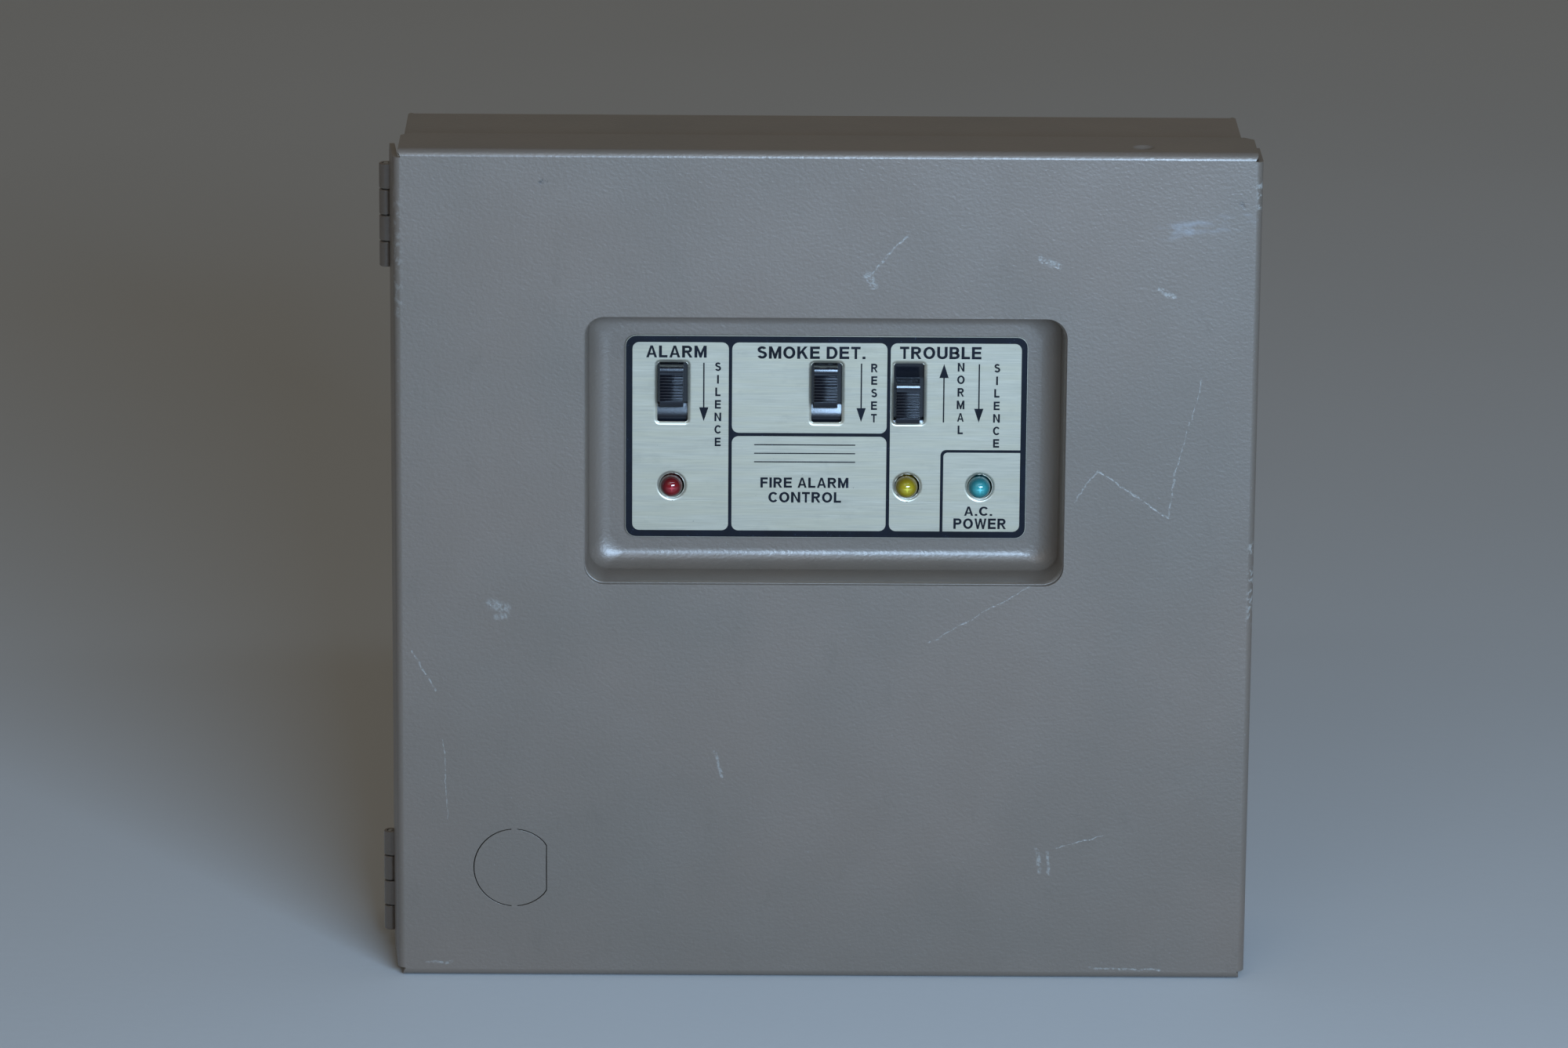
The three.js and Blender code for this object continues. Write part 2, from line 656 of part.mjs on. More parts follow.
// Barrier terminal strip. Its origin is the middle of its left end, where it sits on the board.
function terminalStrip(ways) {
  const { pitch, wall, depth, foot, rib, ribDepth, height } = TERMINAL;
  const length = ways * pitch + wall;
  let strip = block(0, length, -foot, 0, -depth / 2, depth / 2);
  strip = strip.add(block(0, length, -rib, -1, -ribDepth / 2, ribDepth / 2));
  for (let i = 0; i <= ways; i++) {
    strip = strip.add(block(i * pitch, i * pitch + wall, -height, -1, -depth / 2, depth / 2));
  }
  return strip;
}

// Finned heat sink standing on the board. Its origin is the middle of its foot.
function heatSink() {
  const { width, height, foot, fins, fin, finLength } = HEAT_SINK;
  const left = -width / 2;
  const crest = foot / 2 + finLength;
  const pitch = (width - fin) / (fins - 1);
  const outline = [[left, -foot / 2], [-left, -foot / 2]];
  for (let i = fins - 1; i >= 0; i--) {
    const x = left + i * pitch;
    outline.push([x + fin, crest], [x, crest]);
    if (i > 0) outline.push([x, foot / 2], [x - pitch + fin, foot / 2]);
  }
  return alongY(outline, -height, 0);
}

// Regulator with its mounting tab and three legs. Its origin is under its legs.
function regulator() {
  const body = block(-5, 5, -14, -5, -4.2, 0);
  const tab = alongZ(rectangle(-5, 5, -20.5, -5), -1.3, 0, [circle(0, -17.4, 1.9, 12)]);
  const legs = [-2.54, 0, 2.54].map((x) => block(x - 0.45, x + 0.45, -5.5, 0, -2.8, -1.9));
  return joined(body, tab, ...legs);
}

function capacitor() {
  const { radius, height, crimp, rim } = CAPACITOR;
  const profile = [[0, 0], [radius, 0], [radius, 1.6], [radius - crimp, 2.3], [radius, 3]];
  profile.push([radius, height - rim], [radius - rim, height], [0, height]);
  return turned(profile, 24);
}

function sounder() {
  const { radius, height, edge, mouth, mouthDepth } = SOUNDER;
  const profile = [[0, 0], [radius, 0], [radius, height - edge], [radius - edge, height], [0, height]];
  const floor = height - mouthDepth;
  const hole = [[0, floor], [mouth, floor], [mouth, height + 2], [0, height + 2]];
  return cut(turned(profile, 28), turned(hole, 12));
}

function chip() {
  const { length, width, above, height, notch } = CHIP;
  const body = block(-length / 2, length / 2, -height, -above, -width / 2, width / 2);
  return cut(body, alongY(circle(-length / 2, 0, notch, 12), -height - 1, -height + 0.6));
}

function relay() {
  const { length, width, height, corner } = RELAY;
  return alongY(roundedRectangle(0, 0, length, width, corner, 2), -height, 0);
}

// A block with one upper corner cut off, which marks its positive lead.
function bridgeRectifier() {
  const { length, height, thickness, corner } = RECTIFIER;
  const half = length / 2;
  const outline = [[-half, 0], [half, 0], [half, corner - height], [half - corner, -height]];
  return alongZ([...outline, [-half, -height]], -thickness / 2, thickness / 2);
}

// Open fuse holder: a base with a sprung clip at each end. Its origin is under its middle.
function fuseHolder() {
  const { length, width, base, clipX, clipWidth } = FUSE_HOLDER;
  let holder = block(-length / 2, length / 2, -base, 0, -width / 2, width / 2);
  const spring = [[-10.6, -2.9], [-6, -4.1], [-2, -4.1], [-2, 4.1], [-6, 4.1], [-10.6, 2.9]];
  for (const x of [-clipX, clipX]) {
    const clip = foldedStrip(spring, 0.5, 0.5, 2);
    holder = holder.add(alongX(clip, x - clipWidth / 2, x + clipWidth / 2));
  }
  return holder;
}

function fuse() {
  const { length, cap, radius, glass, axis } = FUSE;
  const end = length / 2;
  const ferrule = circle(-axis, 0, radius, 16);
  const tube = alongX(circle(-axis, 0, glass, 16), cap - 0.2 - end, end - cap + 0.2);
  return joined(alongX(ferrule, -end, cap - end), tube, alongX(ferrule, end - cap, end));
}

function connector(length) {
  const body = block(0, 8, -6.4, 0, -length / 2, length / 2);
  const key = block(2.5, 5.5, -7.2, -6.2, -length / 2 + 1.5, length / 2 - 1.5);
  return body.add(key);
}

// ---------------------------------------------------------------- battery and wiring

const batteryFront = backInside - GAP - BATTERY.depth;
const batteryTop = BATTERY.bottom + BATTERY.height;
const batteryMiddle = batteryFront + BATTERY.depth / 2;
const batteryTabs = {
  red: BATTERY.right - BATTERY_TAB.fromRight.red,
  black: BATTERY.right - BATTERY_TAB.fromRight.black,
};

function battery() {
  const { left, right, bottom } = BATTERY;
  const middle = batteryMiddle;
  const outline = roundedRectangle((left + right) / 2, middle, right - left, BATTERY.depth, 1.4, 2);
  const body = alongZ(outline, bottom, batteryTop - 1.4);
  const inset = 1;
  const lid = alongZ(
    roundedRectangle(
      (left + right) / 2, middle, right - left - 2 * inset, BATTERY.depth - 2 * inset, 1, 2,
    ),
    batteryTop - 1.6,
    batteryTop,
  );
  const halfX = BATTERY_TAB.width / 2;
  const halfY = BATTERY_TAB.thickness / 2;
  const tabTop = batteryTop + BATTERY_TAB.height;
  const tabs = Object.values(batteryTabs).map((x) =>
    block(x - halfX, x + halfX, middle - halfY, middle + halfY, batteryTop - 0.2, tabTop),
  );
  return joined(body, lid, ...tabs);
}

// The strap over the battery, with a foot and a clearance hole for the stud at each end.
function batteryStrap() {
  const { left, right } = BATTERY;
  const t = STRAP.thickness;
  const foot = backInside - GAP - t / 2;
  const over = batteryFront - GAP - t / 2;
  const [footLeft, footRight] = strapFeet();
  const reach = STRAP.foot / 2 + 0.4;
  const line = [
    [footLeft - reach, foot],
    [left - GAP - t, foot],
    [left - GAP - t, over],
    [right + GAP + t, over],
    [right + GAP + t, foot],
    [footRight + reach, foot],
  ];
  const low = STRAP.z - STRAP.width / 2;
  const strap = alongZ(foldedStrip(line, t, 1.1, 3), low, low + STRAP.width);
  const holes = strapFeet().map((x) => alongY(circle(x, STRAP.z, STRAP.hole, 12), -4, 0));
  return cut(strap, ...holes);
}

function nut() {
  return alongY(hexagon(NUT.acrossFlats), 0, NUT.height, [circle(0, 0, NUT.bore, 12)]);
}

// A wire or loom: a round section carried along a smooth curve through the given points.
function wire(points, radius, steps) {
  const path = new THREE.CatmullRomCurve3(points.map((p) => new THREE.Vector3(...p)));
  const section = new THREE.Shape(circle(0, 0, radius, 8).map(([x, y]) => new THREE.Vector2(x, y)));
  const geometry = new THREE.ExtrudeGeometry(section, { steps, extrudePath: path });
  return solid(geometry);
}

// The loom leaves the main board's connector, climbs beside the hinge and crosses to the door.
const LOOM_ROUTE = [
  [-78.4, -13.2, -18], [-81.5, -13.3, -18.4], [-84.6, -14, -17.2], [-86, -15.4, -13],
  [-86.2, -16.6, -5], [-86.2, -17.8, 5], [-86.2, -19.1, 16], [-86, -20.4, 27], [-84.6, -21.8, 35.4],
  [-80, -22.7, 40.6], [-72, -23, 42], [-60, -23.1, 42], [-48, -23.1, 42], [-38.4, -23.1, 42],
];

// A lead's route from the top of a battery tab to a terminal.
function batteryLead(tabX, terminalX) {
  const middle = batteryMiddle;
  const start = batteryTop + BATTERY_TAB.height + 0.4;
  return [
    [tabX, middle, start],
    [tabX, middle - 0.5, start + 1.2],
    [(tabX * 3 + terminalX) / 4, middle - 4, start + 2.6],
    [(tabX + terminalX) / 2, middle - 7, start + 1.5],
    [terminalX, middle - 8.4, start + 1.6],
    [terminalX, middle - 6.8, start + 3.2],
  ];
}

// ---------------------------------------------------------------- assembly

place(cabinet, "cabinet_shell", cabinetShell(), "paint");
place(door, "door_panel", doorPanel(), "paint");
place(door, "recess_pan", recessPan(), "paint");
place(door, "label_plate", labelPlate(), "plate");

for (const [name, z] of Object.entries(HINGE.centres)) {
  place(cabinet, `${name}_hinge_cabinet_leaf`, cabinetLeaf(), "paint", 0, 0, z);
  place(cabinet, `${name}_hinge_pin`, hingePin(), "zinc", HINGE.x, HINGE.y, z);
  place(door, `${name}_hinge_door_leaf`, doorLeaf(), "paint", 0, 0, z);
}

const knobTop = SLOT.z + TRAVEL / 2;
const restHeight = { alarm: knobTop, reset: knobTop, trouble: SLOT.z - TRAVEL / 2 };
for (const [name, x] of Object.entries(SWITCH_X)) {
  place(door, `${name}_switch_housing`, switchHousing(), "grey", x + KNOB_SHIFT, housingFront, SLOT.z);
  place(door, `${name}_slider`, slider(), "black", x + KNOB_SHIFT, skirtFront, restHeight[name]);
}

const lampColour = { alarm: "red", trouble: "amber", power: "green" };
for (const [name, x] of Object.entries(LAMP_X)) {
  place(door, `${name}_lamp`, lamp(), lampColour[name], x, lampBase, LAMP.z);
}

place(door, "switch_board", switchBoard(), "laminate");
switchBoardPosts().forEach(([x, z], i) => {
  const length = switchBoardFront - GAP - skirtFront;
  place(door, `switch_board_spacer_${i + 1}`, spacer(4.5, 1.55, length), "zinc", x, skirtFront, z);
  placeOnRear(door, `switch_board_screw_${i + 1}`, screw(), "zinc", x, onSwitchBoardRear, z);
});
placeOnRear(door, "switch_board_connector", connector(10), "black", -38, onSwitchBoardRear, 42);

place(cabinet, "main_board", mainBoard(), "laminate");
boardCorners().forEach(([x, z], i) => {
  const post = spacer(5, 1.6, BOARD.standoff);
  place(cabinet, `main_board_standoff_${i + 1}`, post, "zinc", x, boardBack + GAP, z);
  place(cabinet, `main_board_screw_${i + 1}`, screw(), "zinc", x, onBoard, z);
});
place(cabinet, "field_terminal_strip", terminalStrip(10), "black", -62, onBoard, -24);
place(cabinet, "power_terminal_strip", terminalStrip(3), "black", 42, onBoard, -24);
place(cabinet, "alarm_relay", relay(), "black", 66, onBoard, 34);
place(cabinet, "trouble_relay", relay(), "black", 66, onBoard, 50);
place(cabinet, "trouble_sounder", sounder(), "black", 66, onBoard, 10);
place(cabinet, "filter_capacitor", capacitor(), "sleeve", 60, onBoard, 67.5);
place(cabinet, "heat_sink", heatSink(), "aluminium", 28, onBoard, 65);
place(cabinet, "voltage_regulator", regulator(), "black", 28, onBoard, 63.4);
place(cabinet, "bridge_rectifier", bridgeRectifier(), "black", 0, onBoard, 62);
place(cabinet, "timer_chip", chip(), "black", -24, onBoard, 40);
place(cabinet, "logic_chip", chip(), "black", 6, onBoard, 40);
place(cabinet, "fuse_holder", fuseHolder(), "black", -44, onBoard, 68);
place(cabinet, "fuse", fuse(), "glass", -44, onBoard, 68);
place(cabinet, "main_board_connector", connector(14), "black", -78, onBoard, -18);

place(cabinet, "standby_battery", battery(), "grey");
place(cabinet, "battery_strap", batteryStrap(), "zinc");
strapFeet().forEach((x, i) => {
  const y = backInside - 2 * GAP - STRAP.thickness - NUT.height;
  place(cabinet, `battery_strap_nut_${i + 1}`, nut(), "zinc", x, y, STRAP.z);
});
place(cabinet, "battery_lead_red", wire(batteryLead(batteryTabs.red, 66), LEAD_RADIUS, 18), "redWire");
place(cabinet, "battery_lead_black", wire(batteryLead(batteryTabs.black, 56.5), LEAD_RADIUS, 18), "black");
place(cabinet, "wiring_loom", wire(LOOM_ROUTE, LOOM_RADIUS, 60), "grey");

export default panel;
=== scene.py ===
"""The looks of the fire alarm control panel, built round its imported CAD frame.

Shapes are written in millimetres in the part's own frame: +X right, +Y into the wall, +Z up.
Shape holds the points and faces of a piece, and piece() turns it into a Blender object in metres.
"""

import json
import math
import random
from functools import reduce

import bmesh
import bpy
from mathutils import Matrix, Vector
from mathutils.geometry import tessellate_polygon

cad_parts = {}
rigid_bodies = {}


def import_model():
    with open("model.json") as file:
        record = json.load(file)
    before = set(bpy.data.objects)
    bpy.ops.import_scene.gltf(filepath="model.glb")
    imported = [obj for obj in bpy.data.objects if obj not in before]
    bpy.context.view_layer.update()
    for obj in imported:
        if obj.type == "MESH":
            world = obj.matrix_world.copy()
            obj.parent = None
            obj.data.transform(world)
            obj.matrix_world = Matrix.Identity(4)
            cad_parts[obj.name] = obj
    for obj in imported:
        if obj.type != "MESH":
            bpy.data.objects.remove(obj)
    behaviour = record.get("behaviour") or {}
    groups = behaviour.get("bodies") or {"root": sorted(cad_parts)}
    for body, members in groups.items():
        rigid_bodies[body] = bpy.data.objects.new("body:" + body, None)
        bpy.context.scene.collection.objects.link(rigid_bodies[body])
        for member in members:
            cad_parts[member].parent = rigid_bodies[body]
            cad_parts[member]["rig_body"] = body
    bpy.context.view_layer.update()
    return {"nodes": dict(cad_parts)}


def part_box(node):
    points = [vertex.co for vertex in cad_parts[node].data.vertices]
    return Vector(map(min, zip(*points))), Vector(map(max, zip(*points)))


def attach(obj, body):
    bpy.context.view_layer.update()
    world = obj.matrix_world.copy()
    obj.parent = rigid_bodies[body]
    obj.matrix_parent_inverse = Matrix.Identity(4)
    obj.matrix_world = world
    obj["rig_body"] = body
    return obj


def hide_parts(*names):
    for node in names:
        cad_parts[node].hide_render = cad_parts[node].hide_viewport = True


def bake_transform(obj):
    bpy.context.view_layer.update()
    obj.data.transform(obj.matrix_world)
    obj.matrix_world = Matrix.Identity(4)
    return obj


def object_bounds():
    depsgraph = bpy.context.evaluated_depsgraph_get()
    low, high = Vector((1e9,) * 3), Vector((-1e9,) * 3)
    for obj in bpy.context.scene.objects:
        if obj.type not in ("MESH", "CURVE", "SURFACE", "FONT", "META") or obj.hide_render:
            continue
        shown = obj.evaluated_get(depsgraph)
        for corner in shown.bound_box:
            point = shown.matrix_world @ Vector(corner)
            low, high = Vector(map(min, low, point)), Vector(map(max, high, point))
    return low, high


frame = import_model()

MM = 0.001
TURN = 2 * math.pi

# ---------------------------------------------------------------- sizes

SHEET = 1.2  # steel sheet of the door, the cabinet and the recess
BEND = 1.9  # outer radius of a fold
DOOR_INSET = 1.3  # the top and bottom flanges stop this short of the door's sides
FLANGE_CUT = 2.2  # chamfer on a flange's rear corners
RECESS_RIM = 7.5
RECESS_CORNER = 4.8
RECESS_SLOPE = (6.1, 5.2)  # how far the side and the top walls come in
LIP = 0.85  # width of the rolled edge round each hole of the label plate
PLATE_SHEET = 0.55
KEYHOLE = {"round": 4.5, "slot": 2.5, "rise": 7.0}
KNOCKOUT_RADIUS = 11.1
BOTTOM_KNOCKOUTS = {"x": (-74, -38), "y": -18}


def mm_box(node):
    """Lowest and highest corner of a CAD node, in millimetres."""
    low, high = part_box(node)
    return low / MM, high / MM


def middle(node):
    low, high = mm_box(node)
    return (low + high) / 2


def measured(node):
    """Lowest and highest corner of a CAD node, then the X and the Z of its middle."""
    low, high = mm_box(node)
    return low, high, (low.x + high.x) / 2, (low.z + high.z) / 2


# ---------------------------------------------------------------- shapes


class Shape:
    """Points and faces in millimetres. paint is the material index of the faces that come next."""

    def __init__(self):
        self.points = []
        self.faces = []
        self.paints = []
        self.paint = 0

    def add(self, points, faces):
        start = len(self.points)
        self.points += [Vector(p) for p in points]
        self.faces += [[start + i for i in face] for face in faces]
        self.paints += [self.paint] * len(faces)
        return self

    def loft(self, rows, closed=True, caps=True):
        """A skin through rows of points. closed joins a row's ends; caps close the end rows."""
        count = len(rows[0])
        faces = []
        for r in range(len(rows) - 1):
            for i in range(count if closed else count - 1):
                j = (i + 1) % count
                near, far = r * count, (r + 1) * count
                faces.append([near + i, near + j, far + j, far + i])
        if closed and caps:
            faces.append(list(range(count))[::-1])
            faces.append([(len(rows) - 1) * count + i for i in range(count)])
        return self.add([p for row in rows for p in row], faces)

    def flat(self, outline, holes, place):
        """A flat face with holes. place turns an outline's (u, v) into a point."""
        loops = [[Vector((u, v, 0)) for u, v in loop] for loop in [outline, *holes]]
        flat_points = [p for loop in loops for p in loop]
        faces = [list(f) for f in tessellate_polygon(loops)]
        return self.add([place(p.x, p.y) for p in flat_points], faces)

    def prism(self, outline, low, high, axis="y", holes=()):
        """An outline extruded along an axis: (y, z) along x, (x, z) along y, (x, y) along z."""
        at = {
            "x": lambda u, v, w: (w, u, v),
            "y": lambda u, v, w: (u, w, v),
            "z": lambda u, v, w: (u, v, w),
        }[axis]
        for loop in [outline, *holes]:
            rows = [[at(u, v, w) for u, v in loop] for w in (low, high)]
            self.loft(rows, caps=False)
        for w in (low, high):
            if holes:
                self.flat(outline, holes, lambda u, v: at(u, v, w))
            else:
                self.add([at(u, v, w) for u, v in outline], [list(range(len(outline)))])
        return self

    def box(self, low, high):
        return self.prism(rectangle(low[0], high[0], low[1], high[1]), low[2], high[2], "z")

    def lathe(self, profile, centre, sides=32, axis="y"):
        """A profile of (radius, height) turned about an axis. Height runs towards -Y, +X or +Z."""
        rows = []
        for radius, height in profile:
            ring = []
            for i in range(sides):
                u = radius * math.cos(TURN * i / sides)
                v = radius * math.sin(TURN * i / sides)
                offset = {"y": (u, -height, v), "x": (height, u, v), "z": (u, v, height)}[axis]
                ring.append(Vector(centre) + Vector(offset))
            rows.append(ring)
        return self.loft(rows, caps=profile[0][0] > 0 and profile[0] != profile[-1])

    def post(self, x, z, half_x, half_z, low, high):
        """A box about (x, z), from low to high along Y."""
        return self.box((x - half_x, low, z - half_z), (x + half_x, high, z + half_z))

    def band(self, radii, heights, centre, sides, axis="y"):
        """A ring of square section, between two radii and two heights."""
        (inner, outer), (start, end) = radii, heights
        profile = [(inner, start), (outer, start), (outer, end), (inner, end), (inner, start)]
        return self.lathe(profile, centre, sides, axis)

    def tube(self, path, radius, sides=12, caps=True):
        """A round section carried along a path; radius may be a function of the share run."""
        path = [Vector(p) for p in path]
        rows = []
        side = None
        for i, point in enumerate(path):
            ahead = path[min(i + 1, len(path) - 1)] - path[max(i - 1, 0)]
            ahead.normalize()
            if side is None:
                side = ahead.orthogonal().normalized()
            side = (side - ahead * side.dot(ahead)).normalized()
            other = ahead.cross(side)
            size = radius(i / (len(path) - 1)) if callable(radius) else radius
            rows.append([point + size * (side * math.cos(a) + other * math.sin(a))
                         for a in (TURN * k / sides for k in range(sides))])
        return self.loft(rows, caps=caps)


def arc(x, y, radius, start, end, steps):
    return [
        (x + radius * math.cos(start + (end - start) * i / steps),
         y + radius * math.sin(start + (end - start) * i / steps))
        for i in range(steps + 1)
    ]


def circle(x, y, radius, sides=48):
    return arc(x, y, radius, 0, TURN, sides)[:-1]


def rectangle(x0, x1, y0, y1):
    return [(x0, y0), (x1, y0), (x1, y1), (x0, y1)]


def rounded(corners, steps=6):
    """A polygon of (x, y, radius), with each corner rounded to its radius."""
    outline = []
    for i, (x, y, radius) in enumerate(corners):
        here = Vector((x, y))
        back = (Vector(corners[i - 1][:2]) - here).normalized()
        ahead = (Vector(corners[(i + 1) % len(corners)][:2]) - here).normalized()
        if radius <= 0:
            outline.append((x, y))
            continue
        half = back.angle(ahead) / 2
        centre = here + (back + ahead).normalized() * radius / math.sin(half)
        start = here + back * radius / math.tan(half) - centre
        end = here + ahead * radius / math.tan(half) - centre
        swing = start.angle_signed(end)
        for k in range(steps + 1):
            turned = Matrix.Rotation(-swing * k / steps, 2) @ start
            outline.append(tuple(centre + turned))
    return outline


def rounded_box(x, z, width, height, radius, steps=6):
    w, h = width / 2, height / 2
    corners = [(x - w, z - h), (x + w, z - h), (x + w, z + h), (x - w, z + h)]
    return rounded([(*corner, radius) for corner in corners], steps)


def strip_outline(line, thickness, radius, steps=6):
    """The outline of a folded strip: its centre line, with inner corners rounded to radius."""
    path = [Vector(p) for p in line]
    centre_line = [path[0]]
    for i in range(1, len(path) - 1):
        a, b, c = path[i - 1], path[i], path[i + 1]
        back, ahead = (a - b).normalized(), (c - b).normalized()
        half = back.angle(ahead) / 2
        middle_point = b + (back + ahead).normalized() * radius / math.sin(half)
        start = b + back * radius / math.tan(half) - middle_point
        swing = start.angle_signed(b + ahead * radius / math.tan(half) - middle_point)
        for k in range(steps + 1):
            centre_line.append(middle_point + Matrix.Rotation(-swing * k / steps, 2) @ start)
    centre_line.append(path[-1])
    left, right = [], []
    for i, p in enumerate(centre_line):
        along = centre_line[min(i + 1, len(centre_line) - 1)] - centre_line[max(i - 1, 0)]
        normal = Vector((-along.y, along.x)).normalized() * thickness / 2
        left.append(tuple(p + normal))
        right.append(tuple(p - normal))
    return left + right[::-1]


# ---------------------------------------------------------------- pieces

MERGE = 2e-6  # points closer than this, in metres, become one
FLAT_ANGLE = math.radians(0.4)  # faces that turn by less than this become one
SHARP_ANGLE = math.radians(35)  # edges that turn by more than this are bevelled, or drawn sharp


def piece(name, shape, materials, body, replaces=None, bevel=0.0, sheet=0.0, bend=None):
    """Makes a Blender object of a shape, in metres, and puts it on its body.

    replaces is the CAD node it stands for. bevel is the width of its softened edges. sheet thickens
    an open skin behind its faces. bend is meant as the (from, to, start, end) of a piece between
    two
    bodies, but its values are not used: a piece given one is put on no body.
    """
    mesh = bpy.data.meshes.new(name)
    mesh.from_pydata([p * MM for p in shape.points], [], shape.faces)
    materials = materials if isinstance(materials, (list, tuple)) else [materials]
    for material in materials:
        mesh.materials.append(material)
    mesh.polygons.foreach_set("material_index", shape.paints)
    work = bmesh.new()
    work.from_mesh(mesh)
    bmesh.ops.remove_doubles(work, verts=work.verts, dist=MERGE)
    if not sheet:
        bmesh.ops.recalc_face_normals(work, faces=work.faces)
    bmesh.ops.dissolve_limit(
        work, angle_limit=FLAT_ANGLE, verts=work.verts, edges=work.edges, delimit={"MATERIAL"},
    )
    work.to_mesh(mesh)
    work.free()
    mesh.shade_smooth()
    made = bpy.data.objects.new(name, mesh)
    bpy.context.scene.collection.objects.link(made)
    if sheet:
        thick = made.modifiers.new("sheet", "SOLIDIFY")
        thick.thickness = sheet * MM
        thick.offset = -1
    if bevel:
        edge = made.modifiers.new("edges", "BEVEL")
        edge.width = bevel * MM
        edge.segments = 2
        edge.limit_method = "ANGLE"
        edge.angle_limit = SHARP_ANGLE
        edge.use_clamp_overlap = True
        edge.miter_outer = "MITER_ARC"
        made.modifiers.new("normals", "WEIGHTED_NORMAL").keep_sharp = True
    else:
        mesh.set_sharp_from_angle(angle=SHARP_ANGLE)
    if bend:
        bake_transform(made)
    else:
        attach(made, body)
    if replaces:
        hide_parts(replaces)


# ---------------------------------------------------------------- materials


def linear(red, green, blue):
    """A colour given in 0-255 sRGB, as the linear colour that a shader takes."""
    def one(c):
        c /= 255
        return c / 12.92 if c <= 0.04045 else ((c + 0.055) / 1.055) ** 2.4
    return (one(red), one(green), one(blue), 1.0)


class Finish:
    """One material. Its methods add nodes and give back their outputs; lengths are millimetres."""

    def __init__(self, name, **sockets):
        self.material = bpy.data.materials.new(name)
        self.material.use_nodes = True
        self.tree = self.material.node_tree
        self.shader = self.tree.nodes["Principled BSDF"]
        for socket, value in sockets.items():
            self.shader.inputs[socket.replace("_", " ")].default_value = value
        place = self.tree.nodes.new("ShaderNodeTexCoord").outputs["Object"]
        self.place = self.vector("SCALE", place, scale=1 / MM)

    def node(self, kind, inputs, **settings):
        made = self.tree.nodes.new(kind)
        for key, value in settings.items():
            setattr(made, key, value)
        for key, value in inputs.items():
            if isinstance(value, bpy.types.NodeSocket):
                self.tree.links.new(value, made.inputs[key])
            elif value is not None:
                made.inputs[key].default_value = value
        return made

    def vector(self, operation, a, b=None, scale=None):
        made = self.node("ShaderNodeVectorMath", {0: a, 1: b, "Scale": scale}, operation=operation)
        return made.outputs["Value" if operation in ("DOT_PRODUCT", "LENGTH") else "Vector"]

    def math(self, operation, a, b=None, clamp=False):
        made = self.node("ShaderNodeMath", {0: a, 1: b}, operation=operation, use_clamp=clamp)
        return made.outputs[0]

    def times(self, a, b, clamp=False):
        return self.math("MULTIPLY", a, b, clamp)

    def axis(self, index, vector=None):
        return self.node("ShaderNodeSeparateXYZ", {0: vector or self.place}).outputs[index]

    def noise(self, size, detail=2.0, rough=0.5, stretch=(1, 1, 1), offset=0.0):
        """Noise whose cells are about size across, drawn out along each axis by stretch."""
        at = self.vector("MULTIPLY", self.place, [1 / s for s in stretch])
        at = self.vector("ADD", at, (offset, offset * 0.7, -offset))
        inputs = {"Vector": at, "Scale": 1 / size, "Detail": detail, "Roughness": rough}
        return self.node("ShaderNodeTexNoise", inputs).outputs[0]

    def ramp(self, value, low, high, to_low=0.0, to_high=1.0):
        inputs = {"Value": value, 1: low, 2: high, 3: to_low, 4: to_high}
        return self.node("ShaderNodeMapRange", inputs, interpolation_type="SMOOTHSTEP").outputs[0]

    def mix(self, share, a, b):
        made = self.node("ShaderNodeMix", {0: share}, data_type="RGBA")
        for index, value in ((6, a), (7, b)):
            if isinstance(value, bpy.types.NodeSocket):
                self.tree.links.new(value, made.inputs[index])
            else:
                made.inputs[index].default_value = value
        return made.outputs[2]

    def segment(self, start, end, width, at):
        """1 on the line between two (x, z) points, falling to 0 at width from it."""
        a = Vector((start[0], 0, start[1]))
        d = Vector((end[0], 0.001, end[1])) - a
        offset = self.vector("SUBTRACT", at, tuple(a))
        share = self.vector("DOT_PRODUCT", offset, tuple(d / d.length_squared))
        nearest = self.vector("SCALE", tuple(d), scale=self.times(share, 1.0, clamp=True))
        distance = self.vector("LENGTH", self.vector("SUBTRACT", offset, nearest))
        return self.ramp(distance, width * 0.25, width, 1.0, 0.0)

    def bump(self, height, depth):
        """Height of 0 to 1, standing for depth millimetres."""
        inputs = {"Height": height, "Distance": depth * MM, "Strength": 1.0}
        bump = self.node("ShaderNodeBump", inputs).outputs[0]
        self.tree.links.new(bump, self.shader.inputs["Normal"])
        return self

    def colour(self, value):
        self.tree.links.new(value, self.shader.inputs["Base Color"])
        return self

    def rough(self, value):
        self.tree.links.new(value, self.shader.inputs["Roughness"])
        return self


# Marks on the door's face: (x, z) to (x, z), width. The pale ones show primer or bare steel.
PALE_MARKS = [
    ((78.0, 68.9), (81.1, 67.4), 1.1),
    ((18.8, 81.8), (9.2, 71.3), 0.35),
    ((9.6, 72.0), (10.9, 69.6), 1.4),
    ((50.0, 76.2), (54.0, 74.6), 1.2),
    ((-79.0, -8.3), (-75.4, -9.6), 1.6),
    ((-77.5, -11.8), (-75.5, -11.0), 1.2),
    ((-25.6, -45.0), (-24.2, -51.0), 0.6),
    ((51.4, -69.0), (52.2, -74.8), 0.7),
    ((53.8, -69.5), (54.4, -75.2), 0.5),
    ((56.0, -68.6), (67.6, -65.3), 0.24),
    ((58.7, 17.3), (64.1, 25.0), 0.32),
    ((64.1, 25.0), (81.0, 13.6), 0.28),
    ((81.0, 13.6), (82.6, 25.1), 0.32),
    ((82.6, 25.1), (88.4, 47.0), 0.2),
    ((24.9, -17.6), (38.9, -9.2), 0.22),
    ((38.9, -9.2), (51.6, -2.0), 0.22),
    ((-97.7, -20.3), (-92.2, -29.9), 0.3),
    ((-90.3, -42.5), (-89.4, -62.0), 0.18),
    ((-94.4, -98.0), (-88.8, -98.1), 0.5),
    ((64.5, -98.9), (81.5, -99.1), 0.4),
]
